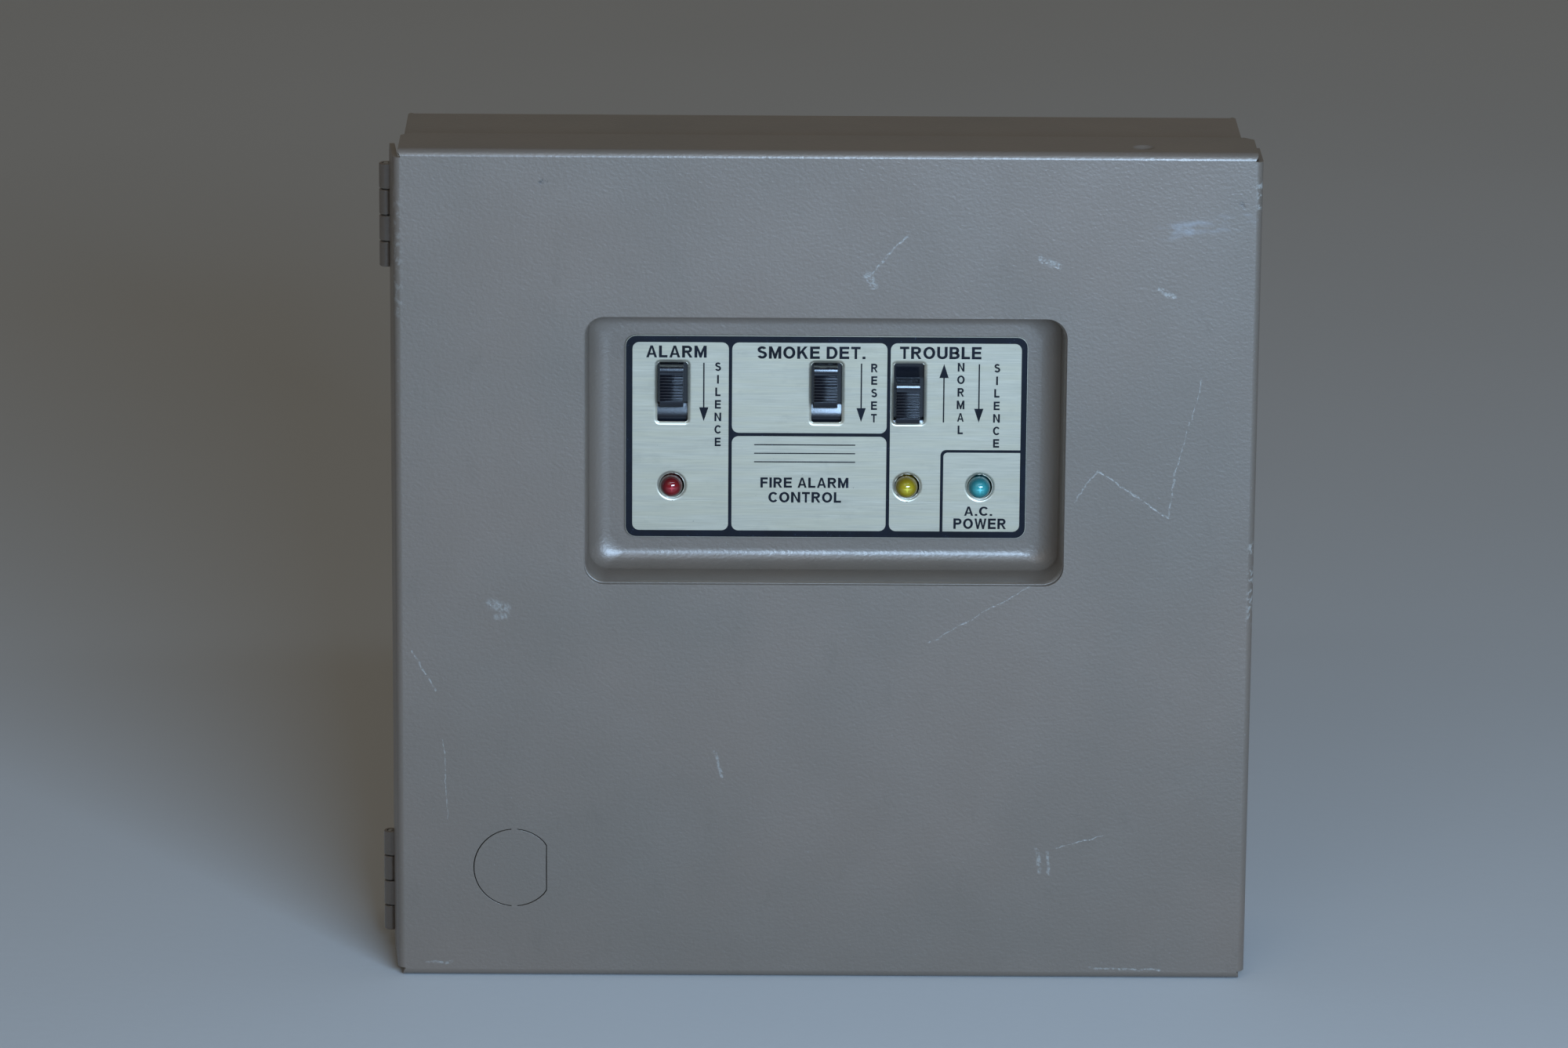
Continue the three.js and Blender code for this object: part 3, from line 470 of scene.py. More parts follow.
DARK_MARKS = [((-66.9, 94.1), (-66.1, 94.3), 0.9), ((96.8, 89.8), (97.1, 89.2), 0.9)]


def paint(name="paint", marks=False):
    """Taupe semi-gloss enamel: orange peel, faint stains, and wear where it is handled."""
    f = Finish(name, Metallic=0.22, Specular_IOR_Level=0.6, Coat_Weight=0.4, Coat_Roughness=0.3)
    colour = f.mix(f.ramp(f.noise(60, 3), 0.3, 0.7), linear(123, 109, 97), linear(117, 106, 95))
    # Pale specks: partly dust, partly painted highlight standing in for glints off the orange peel.
    dust_and_glint_specks = f.ramp(f.noise(0.6, 2, 0.6), 0.69, 0.74)
    colour = f.mix(f.times(dust_and_glint_specks, 0.3), colour, linear(156, 156, 154))
    stain = f.ramp(f.noise(7, 4, 0.65, stretch=(1, 1, 2.2), offset=3.1), 0.56, 0.76)
    colour = f.mix(f.times(stain, 0.13), colour, linear(84, 76, 64))
    peel = f.noise(0.72, 1.8, 0.52, stretch=(1.25, 1, 1))
    fine = f.noise(0.42, 1, 0.5, offset=8.2)
    height = f.math("ADD", peel, f.times(fine, 0.22))
    gloss = f.ramp(f.noise(18, 3, offset=5.5), 0.3, 0.75, 0.34, 0.42)
    if marks:
        wander = f.node("ShaderNodeTexNoise", {"Vector": f.place, "Scale": 0.35, "Detail": 3.0})
        wobble = f.vector("SUBTRACT", wander.outputs["Color"], (0.5, 0.5, 0.5))
        wobble = f.vector("SCALE", wobble, scale=1.6)
        at = f.vector("MULTIPLY", f.vector("ADD", f.place, wobble), (1, 0, 1))
        front = f.math("LESS_THAN", f.axis(1), mm_box("door_panel")[0].y + 0.6)
        ragged = f.ramp(f.noise(0.8, 3, 0.7, offset=1.7), 0.36, 0.66)
        kinds = ((PALE_MARKS, (164, 162, 156), 0.62), (DARK_MARKS, (40, 42, 46), 0.7))
        for scratches, tone, strength in kinds:
            whole = reduce(lambda a, b: f.math("MAXIMUM", a, b),
                           (f.segment(start, end, width, at) for start, end, width in scratches))
            whole = f.times(f.times(whole, ragged), front)
            colour = f.mix(f.times(whole, strength), colour, linear(*tone))
            height = f.math("SUBTRACT", height, f.times(whole, 0.5))
        smear = f.times(f.segment((78, 82.4), (98, 85.6), 2.6, at), front)
        smear = f.times(smear, f.ramp(f.noise(2.6, 3, 0.6, stretch=(3, 1, 1)), 0.4, 0.7))
        colour = f.mix(f.times(smear, 0.5), colour, linear(160, 164, 170))
        chips = edge_chips(f)
        colour = f.mix(chips, colour, linear(182, 180, 174))
        gloss = f.math("ADD", gloss, f.times(chips, 0.15))
    f.colour(colour).rough(gloss).bump(height, 0.075)
    return f.material


def edge_chips(f):
    """Worn spots along the door's right edge and beside the upper hinge."""
    low, high = mm_box("door_panel")
    x, z = f.axis(0), f.axis(2)
    ragged = f.ramp(f.noise(1.7, 4, 0.7, offset=4.4), 0.5, 0.6)
    right = f.ramp(x, high.x - 1.9, high.x - 0.7)
    spans = [f.times(f.ramp(z, z0 - 1.5, z0), f.ramp(z, z1, z1 + 1.5, 1.0, 0.0))
             for z0, z1 in ((89.0, 94.0), (-12.0, 6.5))]
    right = f.times(right, f.math("ADD", *spans))
    left = f.ramp(x, low.x + 2.6, low.x + 4.2, 1.0, 0.0)
    left = f.times(left, f.times(f.ramp(z, 60, 63), f.ramp(z, 90, 94, 1.0, 0.0)))
    worn = f.times(f.math("ADD", right, f.times(left, 0.4)), ragged, clamp=True)
    worn = f.times(worn, f.ramp(f.axis(1), low.y + 1.0, low.y + 3.5, 1.0, 0.0))
    return f.times(worn, 0.62)


def metal(name, tone, rough, grain=(1, 1, 1), size=0.5, depth=0.006, tarnish=(120, 112, 98),
          shine=1.0):
    """Bare or plated metal with a grain drawn out along one axis and a little tarnish."""
    f = Finish(name, Metallic=shine)
    streak = f.noise(size, 3, 0.65, stretch=grain)
    colour = f.mix(f.ramp(streak, 0.3, 0.7), linear(*[c * 0.9 for c in tone]), linear(*tone))
    dull = f.ramp(f.noise(9, 4, 0.6, offset=2.2), 0.55, 0.8)
    colour = f.mix(f.times(dull, 0.35), colour, linear(*tarnish))
    gloss = f.ramp(streak, 0.25, 0.75, rough - 0.06, rough + 0.09)
    f.colour(colour).rough(gloss).bump(streak, depth)
    return f.material


def plastic(name, tone, rough=0.3, second=None, texture=0.5, depth=0.01, coat=0.0):
    """Moulded plastic: a fine skin, a slight drift of colour, and dust in patches."""
    f = Finish(name, Specular_IOR_Level=0.5, Coat_Weight=coat, Coat_Roughness=0.08)
    second = second or [c * 0.82 for c in tone]
    colour = f.mix(f.ramp(f.noise(11, 3), 0.3, 0.7), linear(*tone), linear(*second))
    dust = f.ramp(f.noise(3.2, 5, 0.7, offset=6.0), 0.6, 0.85)
    colour = f.mix(f.times(dust, 0.1), colour, linear(150, 148, 140))
    skin = f.noise(texture, 2, 0.6)
    f.colour(colour).rough(f.ramp(dust, 0.0, 1.0, rough, rough + 0.22)).bump(skin, depth)
    return f.material


def lens(name, deep, bright, centre):
    """Coloured resin with painted light: a glow, lighter at the middle and deeper at the rim, and a
    star at the middle, partly the lead frame inside and partly a painted highlight.
    """
    f = Finish(name, Roughness=0.1, IOR=1.5, Coat_Weight=0.6, Coat_Roughness=0.04,
               Subsurface_Weight=0.35, Subsurface_Scale=1.2 * MM)
    f.shader.inputs["Subsurface Radius"].default_value = (1.0, 0.6, 0.4)
    offset = f.vector("MULTIPLY", f.vector("SUBTRACT", f.place, tuple(centre)), (1, 0, 1))
    distance = f.vector("LENGTH", offset)
    # Painted glow: the lighter tone at the middle, falling to the deeper tone at the rim.
    colour = f.mix(f.ramp(distance, 0.5, 2.7), linear(*bright), linear(*deep))
    arms = [f.math("ABSOLUTE", f.axis(index, offset)) for index in (0, 2)]
    # Painted star: partly the lead frame seen through the resin, partly a painted highlight.
    star = f.ramp(f.times(*arms), 0.0, 0.09, 1.0, 0.0)
    star = f.times(star, f.ramp(distance, 0.2, 1.3, 1.0, 0.0))
    glint = linear(*[min(255, c * 1.3 + 50) for c in bright])
    colour = f.mix(f.times(star, 0.55), colour, glint)
    swirl = f.noise(0.7, 2, 0.5)
    f.colour(colour).rough(f.ramp(swirl, 0.3, 0.7, 0.07, 0.16)).bump(swirl, 0.004)
    return f.material


def brushed_plate():
    """Brushed aluminium: fine level lines, faint stains and small pits."""
    f = Finish("brushed_plate", Metallic=0.78, Anisotropic=0.35, Specular_IOR_Level=0.5)
    lines = f.noise(0.16, 3, 0.7, stretch=(60, 1, 1))
    broad = f.noise(1.3, 2, 0.5, stretch=(26, 1, 1), offset=3.0)
    colour = f.mix(f.ramp(lines, 0.25, 0.75), linear(192, 186, 168), linear(214, 207, 188))
    colour = f.mix(f.times(f.ramp(broad, 0.35, 0.7), 0.35), colour, linear(208, 198, 168))
    stain = f.ramp(f.noise(6, 4, 0.6, stretch=(1.6, 1, 1), offset=9.0), 0.55, 0.75)
    colour = f.mix(f.times(stain, 0.3), colour, linear(170, 164, 148))
    pit = f.ramp(f.noise(0.5, 1, 0.5, offset=2.0), 0.76, 0.8)
    colour = f.mix(f.times(pit, 0.6), colour, linear(86, 84, 78))
    f.colour(colour).rough(f.ramp(lines, 0.2, 0.8, 0.34, 0.5)).bump(lines, 0.006)
    return f.material


def ink():
    """Printed enamel, worn thin in pin-pricks along the plate's edge."""
    f = Finish("ink", Specular_IOR_Level=0.22)
    worn = f.ramp(f.noise(0.7, 4, 0.75), 0.64, 0.7)
    colour = f.mix(f.ramp(f.noise(5, 2), 0.3, 0.7), linear(9, 13, 22), linear(14, 19, 31))
    colour = f.mix(f.times(worn, 0.5), colour, linear(96, 112, 140))
    f.colour(colour).rough(f.ramp(worn, 0, 1, 0.34, 0.55)).bump(f.noise(0.5, 2), 0.004)
    return f.material


def laminate():
    """Green solder mask over glass cloth, whose weave shows faintly."""
    f = Finish("laminate", Coat_Weight=0.35, Coat_Roughness=0.15)
    threads = {"Vector": f.place, "Scale": 0.42, "Distortion": 0.5}
    waves = [f.node("ShaderNodeTexWave", threads, bands_direction=way) for way in "XZ"]
    weave = f.times(*[wave.outputs[1] for wave in waves])
    colour = f.mix(weave, linear(42, 84, 48), linear(58, 104, 58))
    colour = f.mix(f.times(f.ramp(f.noise(22, 3), 0.4, 0.75), 0.3), colour, linear(70, 92, 44))
    f.colour(colour).rough(f.ramp(weave, 0, 1, 0.32, 0.42)).bump(weave, 0.008)
    return f.material


PAINT = paint()
DOOR_PAINT = paint("door_paint", marks=True)
PLATE_METAL = brushed_plate()
INK = ink()
ZINC = metal("zinc", (196, 199, 203), 0.3, size=0.8, tarnish=(150, 140, 104))
ALUMINIUM = metal("aluminium", (176, 180, 184), 0.42, grain=(1, 14, 1), size=0.4)
TINNED = metal("tinned", (202, 203, 200), 0.28, size=0.6)
BRASS = metal("brass", (196, 164, 96), 0.3, size=0.7)
SOLDER = metal("solder", (188, 190, 194), 0.22, size=1.1, depth=0.03)
COPPER_TRACK = metal("copper_track", (70, 122, 66), 0.32, size=0.9, tarnish=(60, 96, 48),
                     shine=0.35)
BLACK = plastic("black_plastic", (13, 17, 26), 0.2, coat=0.35)
DARK = plastic("dark_plastic", (38, 40, 44), 0.42, texture=0.35, depth=0.02)
CASE_GREY = plastic("battery_case", (66, 69, 74), 0.5, texture=0.8, depth=0.05)
NYLON = plastic("white_nylon", (214, 210, 196), 0.4, texture=0.9)
LAMINATE = laminate()


# ---------------------------------------------------------------- folded trays


def tray(shape, centre, half, face, depth, reach, holes=(), splay=0.0, cut=FLANGE_CUT, dimple=None,
         pierced=None, steps=7):
    """The outer skin of a flat sheet with its four edges folded over.

    centre and half are (x, z) pairs. face is the Y of the flat and depth the signed depth of the
    flanges. reach is how far along each flange runs, for the upright and for the level ones. The
    flange on the left leans outwards by splay. dimple is the (along, deep, radius, fall) of a
    hollow pressed into the top flange. pierced gives (x, y) outlines cut through a flange, by side:
    0 is the bottom one and 2 the top one.
    """
    towards = math.copysign(1, depth)
    flat = (half[0] - BEND, half[1] - BEND)
    corners = [(sx * flat[0], sz * flat[1]) for sx, sz in ((-1, -1), (1, -1), (1, 1), (-1, 1))]
    at = lambda x, y, z: (centre[0] + x, y, centre[1] + z)
    shape.flat(corners, [[(u - centre[0], v - centre[1]) for u, v in hole] for hole in holes],
               lambda u, v: at(u, face, v))
    levels = [(BEND * math.sin(a), BEND * (1 - math.cos(a)), min(1, k / 3)) for k, a in
              enumerate(math.pi / 2 * i / steps for i in range(steps + 1))]
    levels += [(BEND, abs(depth) - cut, 1), (BEND, abs(depth), 2)]
    for side in range(4):
        upright = side % 2 == 1
        sign = 1 if side in (1, 2) else -1
        own, other = (0, 1) if upright else (1, 0)
        rows = []
        for out, deep, stage in levels:
            run = flat[other] + (reach[own] - flat[other]) * min(stage, 1)
            if stage == 2:
                run -= cut
            lean = splay * max(0, deep - BEND) / (abs(depth) - BEND) if upright and sign < 0 else 0
            place = sign * (flat[own] + out + lean)
            y = face + towards * deep
            ends = [(-run, place), (run, place)]
            rows.append([at(b, y, a) if upright else at(a, y, b) for a, b in ends])
        pressed = side == 2 and dimple
        if pressed or side in (pierced or {}):
            shape.loft(rows[:steps + 1], closed=False)
            shape.loft(rows[steps + 1:], closed=False)
            if pressed:
                press(shape, rows[steps], rows[steps + 1], dimple, face, towards)
            else:
                pierce(shape, rows[steps], rows[steps + 1], pierced[side])
        else:
            shape.loft(rows, closed=False)
    return shape


def pierce(shape, near_row, far_row, holes):
    """A level flange's flat stretch with holes in it."""
    level = near_row[0][2]
    outline = [(p[0], p[1]) for p in (near_row[0], near_row[1], far_row[1], far_row[0])]
    shape.flat(outline, holes, lambda u, v: (u, v, level))


def press(shape, near_row, far_row, dimple, face, towards):
    """The top flange's flat stretch with a round hollow pressed into it."""
    along, deep, radius, fall = dimple
    level = near_row[0][2]
    y = face + towards * deep
    pierce(shape, near_row, far_row, [circle(along, y, radius, 40)])
    rows = []
    for k in range(9):
        share = k / 8
        drop = fall * (1 - (1 - share) ** 2) if share < 1 else fall
        ring = circle(along, y, radius * (1 - share) + 0.01, 40)
        rows.append([(u, v, level - drop) for u, v in ring])
    shape.loft(rows, caps=False)


def face_out(shape, centre):
    """Turns every face of an open, box-like skin so that it looks away from a point inside it."""
    for face in shape.faces:
        points = [shape.points[i] for i in face]
        normal = Vector()
        for i, p in enumerate(points):
            normal += p.cross(points[(i + 1) % len(points)])
        middle_point = sum(points, Vector()) / len(points)
        if normal.dot(middle_point - Vector(centre)) < 0:
            face.reverse()
    return shape


def ring_slits(x, z, outline, gap, tie, upright=True):
    """Two slits round a knockout, with a tie between their ends.

    outline gives the knockout's radius at an angle. gap is a slit's width and tie half of the angle
    that a tie takes. The ties are above and below, or on either side unless upright.
    """
    slits = []
    for start in (0, math.pi):
        middle_angle = start if upright else start + math.pi / 2
        spread = math.pi / 2 - tie
        angles = [middle_angle - spread + 2 * spread * i / 24 for i in range(25)]
        point = lambda a, r: (x + r * math.cos(a), z + r * math.sin(a))
        outer, inner = ([point(a, outline(a) - inset) for a in angles] for inset in (0, gap))
        slits.append(outer + inner[::-1])
    return slits


# ---------------------------------------------------------------- door


def recess_opening():
    """The middle, width and height of the door's opening: the pan less its rim."""
    low, high, x, z = measured("recess_pan")
    return x, z, high.x - low.x - 2 * RECESS_RIM, high.z - low.z - 2 * RECESS_RIM


LOCK = {"x": -73.6, "z": -74.25, "radius": 9.75, "flat": 7.8, "slit": 0.2, "tie": 0.07}
CATCH = {"x": 73.8, "behind": 6.4, "radius": 2.6, "depth": 1.0}


def door_panel():
    low, high = mm_box("door_panel")
    half = (high.x, high.z)
    depth = high.y - low.y
    x, z, width, height = recess_opening()
    opening = rounded_box(x, z, width, height, RECESS_CORNER, 10)
    flat = LOCK["flat"]
    radius = LOCK["radius"]
    lock = lambda a: min(radius, flat / math.cos(a)) if math.cos(a) > 0.05 else radius
    slits = ring_slits(LOCK["x"], LOCK["z"], lock, LOCK["slit"], LOCK["tie"])
    shape = Shape()
    reach = (half[1] - 2.0, half[0] - DOOR_INSET)
    tray(shape, (0, 0), half, low.y, depth, reach, [opening, *slits],
         splay=-low.x - high.x, dimple=tuple(CATCH.values()))
    face_out(shape, (0, low.y + 9, 0))
    piece("door_skin", shape, DOOR_PAINT, "door", "door_panel", bevel=0.14, sheet=SHEET)


def recess_profile():
    """(share of the slope, depth behind the rim): a small roll, a sloped wall and a wide fillet."""
    low, high = mm_box("recess_pan")
    depth = high.y - SHEET - low.y
    run = sum(RECESS_SLOPE) / 2
    lip, root = 1.4, 5.0
    angle = math.atan2(run - 2.6, depth)
    turn = math.pi / 2 - angle
    points = [(lip * math.sin(turn * i / 5) * 0.35, lip * (1 - math.cos(turn * i / 5)))
              for i in range(6)]
    points += [(run - root * math.sin(turn * i / 9), depth - root * (1 - math.cos(turn * i / 9)))
               for i in range(9, -1, -1)]
    return [(u / run, y) for u, y in points]


SWITCHES = ("alarm", "reset", "trouble")
LAMPS = ("alarm", "trouble", "power")


def recess_pan():
    low = mm_box("recess_pan")[0]
    x, z, width, height = recess_opening()
    shape = Shape()
    rows = []
    for grow in (RECESS_RIM, 0.4):
        corner = RECESS_CORNER + grow * 0.3
        outline = rounded_box(x, z, width + 2 * grow, height + 2 * grow, corner, 10)
        rows.append([(u, low.y, v) for u, v in outline])
    for share, deep in recess_profile():
        w = width - 2 * RECESS_SLOPE[0] * share
        h = height - 2 * RECESS_SLOPE[1] * share
        rows.append([(u, low.y + deep, v) for u, v in rounded_box(x, z, w, h, RECESS_CORNER, 10)])
    shape.loft(rows, caps=False)
    holes = []
    for name in SWITCHES:
        centre = middle(f"{name}_switch_housing")
        holes.append(rectangle(centre.x - 4.1, centre.x + 4.6, centre.z - 8.2, centre.z + 8.2))
    for name in LAMPS:
        centre = middle(f"{name}_lamp")
        holes.append(circle(centre.x, centre.z, 3.6, 32))
    floor = [(p[0], p[2]) for p in rows[-1]]
    floor_y = rows[-1][0][1]
    shape.flat(floor, holes, lambda u, v: (u, floor_y, v))
    turn_forward(shape)
    piece("recess_skin", shape, PAINT, "door", "recess_pan", bevel=0.1, sheet=SHEET)


def turn_forward(shape):
    """Turns every face of an open skin towards -Y."""
    for face in shape.faces:
        a, b, c = (shape.points[i] for i in face[:3])
        if (b - a).cross(c - a).y > 0:
            face.reverse()


# ---------------------------------------------------------------- label plate


def plate_holes():
    """(x, z, width, height, corner) of each slot and lamp hole of the label plate."""
    slots = []
    for name in SWITCHES:
        centre = middle(f"{name}_switch_housing")
        slots.append((centre.x + 0.25, centre.z, 7.2, 14.5, 0.6))
    lamps = []
    for name in LAMPS:
        centre = middle(f"{name}_lamp")
        lamps.append((centre.x, centre.z, 5.9, 5.9, 2.94))
    return slots, lamps


def label_plate():
    low, high, x, z = measured("label_plate")
    shape = Shape()
    slots, lamps = plate_holes()
    outers = []
    for hx, hz, w, h, corner in slots + lamps:
        steps = 12 if corner > 1 else 4
        rows = []
        for k in range(5):
            share = k / 4
            grow = LIP * (1 - share)
            fall = 0.42 * (1 - math.cos(share * math.pi / 2))
            wide = w + 2 * grow
            turn = min(corner + grow, wide / 2 - 0.01)
            ring = rounded_box(hx, hz, wide, h + 2 * grow, turn, steps)
            rows.append([(u, low.y + fall, v) for u, v in ring])
        shape.loft(rows, caps=False)
        outers.append([(p[0], p[2]) for p in rows[0]])
    plate_outline = rounded_box(x, z, high.x - low.x, high.z - low.z, 2.6, 8)
    shape.flat(plate_outline, outers, lambda u, v: (u, low.y, v))
    turn_forward(shape)
    piece("label_sheet", shape, PLATE_METAL, "door", "label_plate", bevel=0.07,
          sheet=PLATE_SHEET)


WINDOW_CORNER = 1.6
INK_RISE = 0.05


def label_border():
    """The printed frame: the plate's outline less its five bare windows."""
    low, high, x, z = measured("label_plate")
    left, right = low.x + 1.65, high.x - 1.45
    bottom, top = low.z + 1.65, high.z - 1.6
    first, second = x - 22.75, x + 14.75  # the two upright dividers
    line = 0.8
    split = 29.7
    r = WINDOW_CORNER
    box_left, box_top = 27.8, 25.8
    window = lambda x0, x1, z0, z1, wide: rounded_box(
        (x0 + x1) / 2, (z0 + z1) / 2, wide, z1 - z0, r)
    windows = [
        window(left, first - line / 2, bottom, top, first - line / 2 - left),
        window(first, second, split + 0.4, top, second - first - line),
        window(first, second, bottom, split - 0.4, second - first - line),
        rounded([(box_left + 0.35, bottom, 0), (right, bottom, r), (right, box_top - 0.3, 0),
                 (box_left + 0.35, box_top - 0.3, 1.0)]),
        rounded([(second + line / 2, bottom, r), (box_left - 0.35, bottom, 0),
                 (box_left - 0.35, box_top + 0.35, 1.4), (right, box_top + 0.35, 0),
                 (right, top, r), (second + line / 2, top, r)]),
    ]
    shape = Shape()
    outline = rounded_box(x, z, high.x - low.x - 0.16, high.z - low.z - 0.16, 2.52, 8)
    stamp(shape, outline, low.y, windows)
    return shape


def stamp(shape, outline, y, holes=()):
    """An outline printed on the face at y, standing INK_RISE out of it."""
    shape.prism(outline, y - INK_RISE, y - 0.01, holes=holes)


def arrow(shape, x, low, high, down, y):
    """A thin shaft with a solid head."""
    head, half = 3.4, 1.1
    tip, tail = (low, high) if down else (high, low)
    back = tip + head * (1 if down else -1)
    stamp(shape, [(x - 0.16, tail), (x + 0.16, tail), (x + 0.16, back), (x - 0.16, back)], y)
    stamp(shape, [(x - half, back), (x + half, back), (x, tip)], y)


STROKE = 0.2  # weight of a letter's strokes, as a share of its height


def bow(x, z, rx, rz, start, end, steps=18):
    """A curved stroke along part of an ellipse, between two angles in degrees."""
    angles = [math.radians(start + (end - start) * i / steps) for i in range(steps + 1)]
    outer = [(x + rx * math.cos(a), z + rz * math.sin(a)) for a in angles]
    inner = [(x + (rx - STROKE) * math.cos(a), z + (rz - STROKE * 0.95) * math.sin(a))
             for a in angles]
    return outer + inner[::-1]


def mirrored(polygon, about):
    return [(2 * about - x, z) for x, z in polygon][::-1]


def glyphs():
    """Plain block capitals, one high: each letter's width and the strokes that make it."""
    t = STROKE
    bar = rectangle  # a straight stroke
    stem = bar(0, t, 0, 1)
    leg = [(0, 0), (0.175, 0), (0.37, 0.78), (0.37, 1), (0.285, 1)]
    peak = [(t, 1), (t, 0.58), (0.35, 0), (0.42, 0), (0.42, 0.4)]
    outer_leg = [(0, 1), (0.17, 1), (0.28, 0.33), (0.28, 0), (0.2, 0)]
    inner_leg = [(0.28, 0.33), (0.28, 0), (0.35, 0), (0.5, 0.68), (0.5, 1), (0.42, 1)]
    bowl = [bar(t, 0.38, 1 - t, 1), bar(t, 0.38, 0.4, 0.4 + t), bow(0.38, 0.7, 0.3, 0.3, -90, 90)]
    return {
        "A": (0.74, [leg, mirrored(leg, 0.37),
                     [(0.23, 0.22), (0.51, 0.22), (0.4725, 0.37), (0.2675, 0.37)]]),
        "B": (0.7, [stem, bar(t, 0.38, 1 - t, 1), bar(t, 0.38, 0.415, 0.585), bar(t, 0.38, 0, t),
                    bow(0.38, 0.7075, 0.28, 0.2925, -90, 90),
                    bow(0.38, 0.2925, 0.32, 0.2925, -90, 90)]),
        "C": (0.74, [bow(0.4, 0.5, 0.4, 0.5, 38, 322)]),
        "D": (0.74, [stem, bar(t, 0.34, 1 - t, 1), bar(t, 0.34, 0, t),
                     bow(0.34, 0.5, 0.4, 0.5, -90, 90)]),
        "E": (0.66, [stem, bar(t, 0.66, 0, t), bar(t, 0.62, 0.42, 0.42 + t),
                     bar(t, 0.66, 1 - t, 1)]),
        "F": (0.6, [stem, bar(t, 0.56, 0.4, 0.4 + t), bar(t, 0.6, 1 - t, 1)]),
        "I": (t, [stem]),
        "K": (0.74, [stem, [(t, 0.34), (t, 0.58), (0.49, 1), (0.7, 1)],
                     [(0.29, 0.494), (0.42, 0.655), (0.74, 0), (0.54, 0)]]),
        "L": (0.58, [stem, bar(t, 0.58, 0, t)]),
        "M": (0.84, [stem, bar(0.84 - t, 0.84, 0, 1), peak, mirrored(peak, 0.42)]),
        "N": (0.74, [stem, bar(0.74 - t, 0.74, 0, 1),
                     [(t, 1), (t, 0.7), (0.74 - t, 0), (0.74 - t, 0.3)]]),
        "O": (0.82, [bow(0.41, 0.5, 0.41, 0.5, -90, 90), bow(0.41, 0.5, 0.41, 0.5, 90, 270)]),
        "P": (0.68, [stem, *bowl]),
        "R": (0.71, [stem, *bowl, [(0.31, 0.4), (0.49, 0.4), (0.71, 0), (0.52, 0)]]),
        "S": (0.66, [bow(0.33, 0.7275, 0.31, 0.2725, 25, 270),
                     bow(0.33, 0.3075, 0.33, 0.3075, 90, -158)]),
        "T": (0.64, [bar(0, 0.64, 1 - t, 1), bar(0.235, 0.405, 0, 1 - t)]),
        "U": (0.72, [bar(0, t, 0.34, 1), bar(0.72 - t, 0.72, 0.34, 1),
                     bow(0.36, 0.34, 0.36, 0.34, 180, 360)]),
        "W": (1.0, [outer_leg, inner_leg, mirrored(outer_leg, 0.5), mirrored(inner_leg, 0.5)]),
        ".": (t, [bar(0, t, 0, t)]),
        " ": (0.2, []),
    }


GLYPHS = glyphs()
LETTER_GAP = 0.13


def word(shape, text, x, z, width, height, y):
    """Block capitals centred on (x, z), fitted to a width and a height."""
    run = sum(GLYPHS[c][0] for c in text) + LETTER_GAP * (len(text) - 1)
    across = width / run
    at = x - width / 2
    for letter in text:
        advance, strokes = GLYPHS[letter]
        for stroke in strokes:
            outline = [(at + u * across, z + (v - 0.5) * height) for u, v in stroke]
            stamp(shape, outline, y)
        at += (advance + LETTER_GAP) * across


def label_print():
    y = mm_box("label_plate")[0].y
    shape = label_border()
    for text, x, z, width, height in (
        ("ALARM", -35.3, 49.9, 14.3, 2.9),
        ("SMOKE DET.", -3.4, 49.8, 25.6, 3.0),
        ("TROUBLE", 27.2, 49.9, 19.3, 3.0),
        ("FIRE ALARM", -4.8, 17.9, 20.9, 2.5),
        ("CONTROL", -4.7, 14.3, 17.3, 2.6),
        ("A.C.", 36.6, 11.1, 6.7, 2.3),
        ("POWER", 37.0, 8.0, 12.5, 2.6),
    ):
        word(shape, text, x, z, width, height, y)
    for text, x, high in (
        ("SILENCE", -25.45, 47.3), ("RESET", 11.55, 47.2),
        ("NORMAL", 32.07, 47.5), ("SILENCE", 40.63, 47.3),
    ):
        for i, letter in enumerate(text):
            word(shape, letter, x, high - 1.05 - 3.07 * i, 2.05 * GLYPHS[letter][0] * 1.05, 2.1, y)
    for x, down in ((-28.8, True), (8.5, True), (28.06, False), (36.4, True)):
        arrow(shape, x, 32.9, 47.2, down, y)
    for i in range(3):
        z = 27.2 - 2.1 * i
        stamp(shape, rectangle(-16.8, 7.2, z - 0.13, z + 0.13), y)
    piece("label_print", shape, INK, "door")


# ---------------------------------------------------------------- switches and lamps


def slider(name):
    """A ribbed knob on a dished skirt."""
    low, high, x, z = measured(f"{name}_slider")
    skirt_front = -35.0
    half = 5.0
    tip = low.y
    shape = Shape()
    side = [(skirt_front + 0.75, -half), (tip + 0.9, -half), (tip + 0.25, -half + 0.35)]
    side += [(tip, -half + 1.1), (tip, -3.35)]
    ribs, pitch = 9, 0.74
    for i in range(ribs):
        base = -3.33 + i * pitch
        side += [(tip + 0.12, base), (tip + 0.42, base + 0.1), (tip + 0.42, base + 0.24),
                 (tip + 0.1, base + 0.36), (tip, base + 0.46), (tip, base + pitch - 0.08)]
    side += [(tip, half - 1.1), (tip + 0.25, half - 0.35), (tip + 0.9, half),
             (skirt_front + 0.75, half)]
    shape.prism([(y, z + v) for y, v in side], x - 2.8, x + 2.8, "x")
    rows = []
    for i in range(33):
        v = -9.7 + 19.4 * i / 32
        share = min(1, max(0, (abs(v) - 5.2) / 3.6))
        front = skirt_front + 0.6 - 0.87 * share * (1.3 - 0.3 * share * share)
        section = rectangle(x - 4.2, x + 4.2, front, front + 0.42)
        rows.append([(u, y, z + v) for u, y in section])
    shape.loft(rows)
    shape.box((x - 1.5, skirt_front + 0.9, z - 3), (x + 1.5, high.y, z + 3))
    piece(f"{name}_slider_knob", shape, BLACK, f"{name}_switch", f"{name}_slider",
          bevel=0.07)


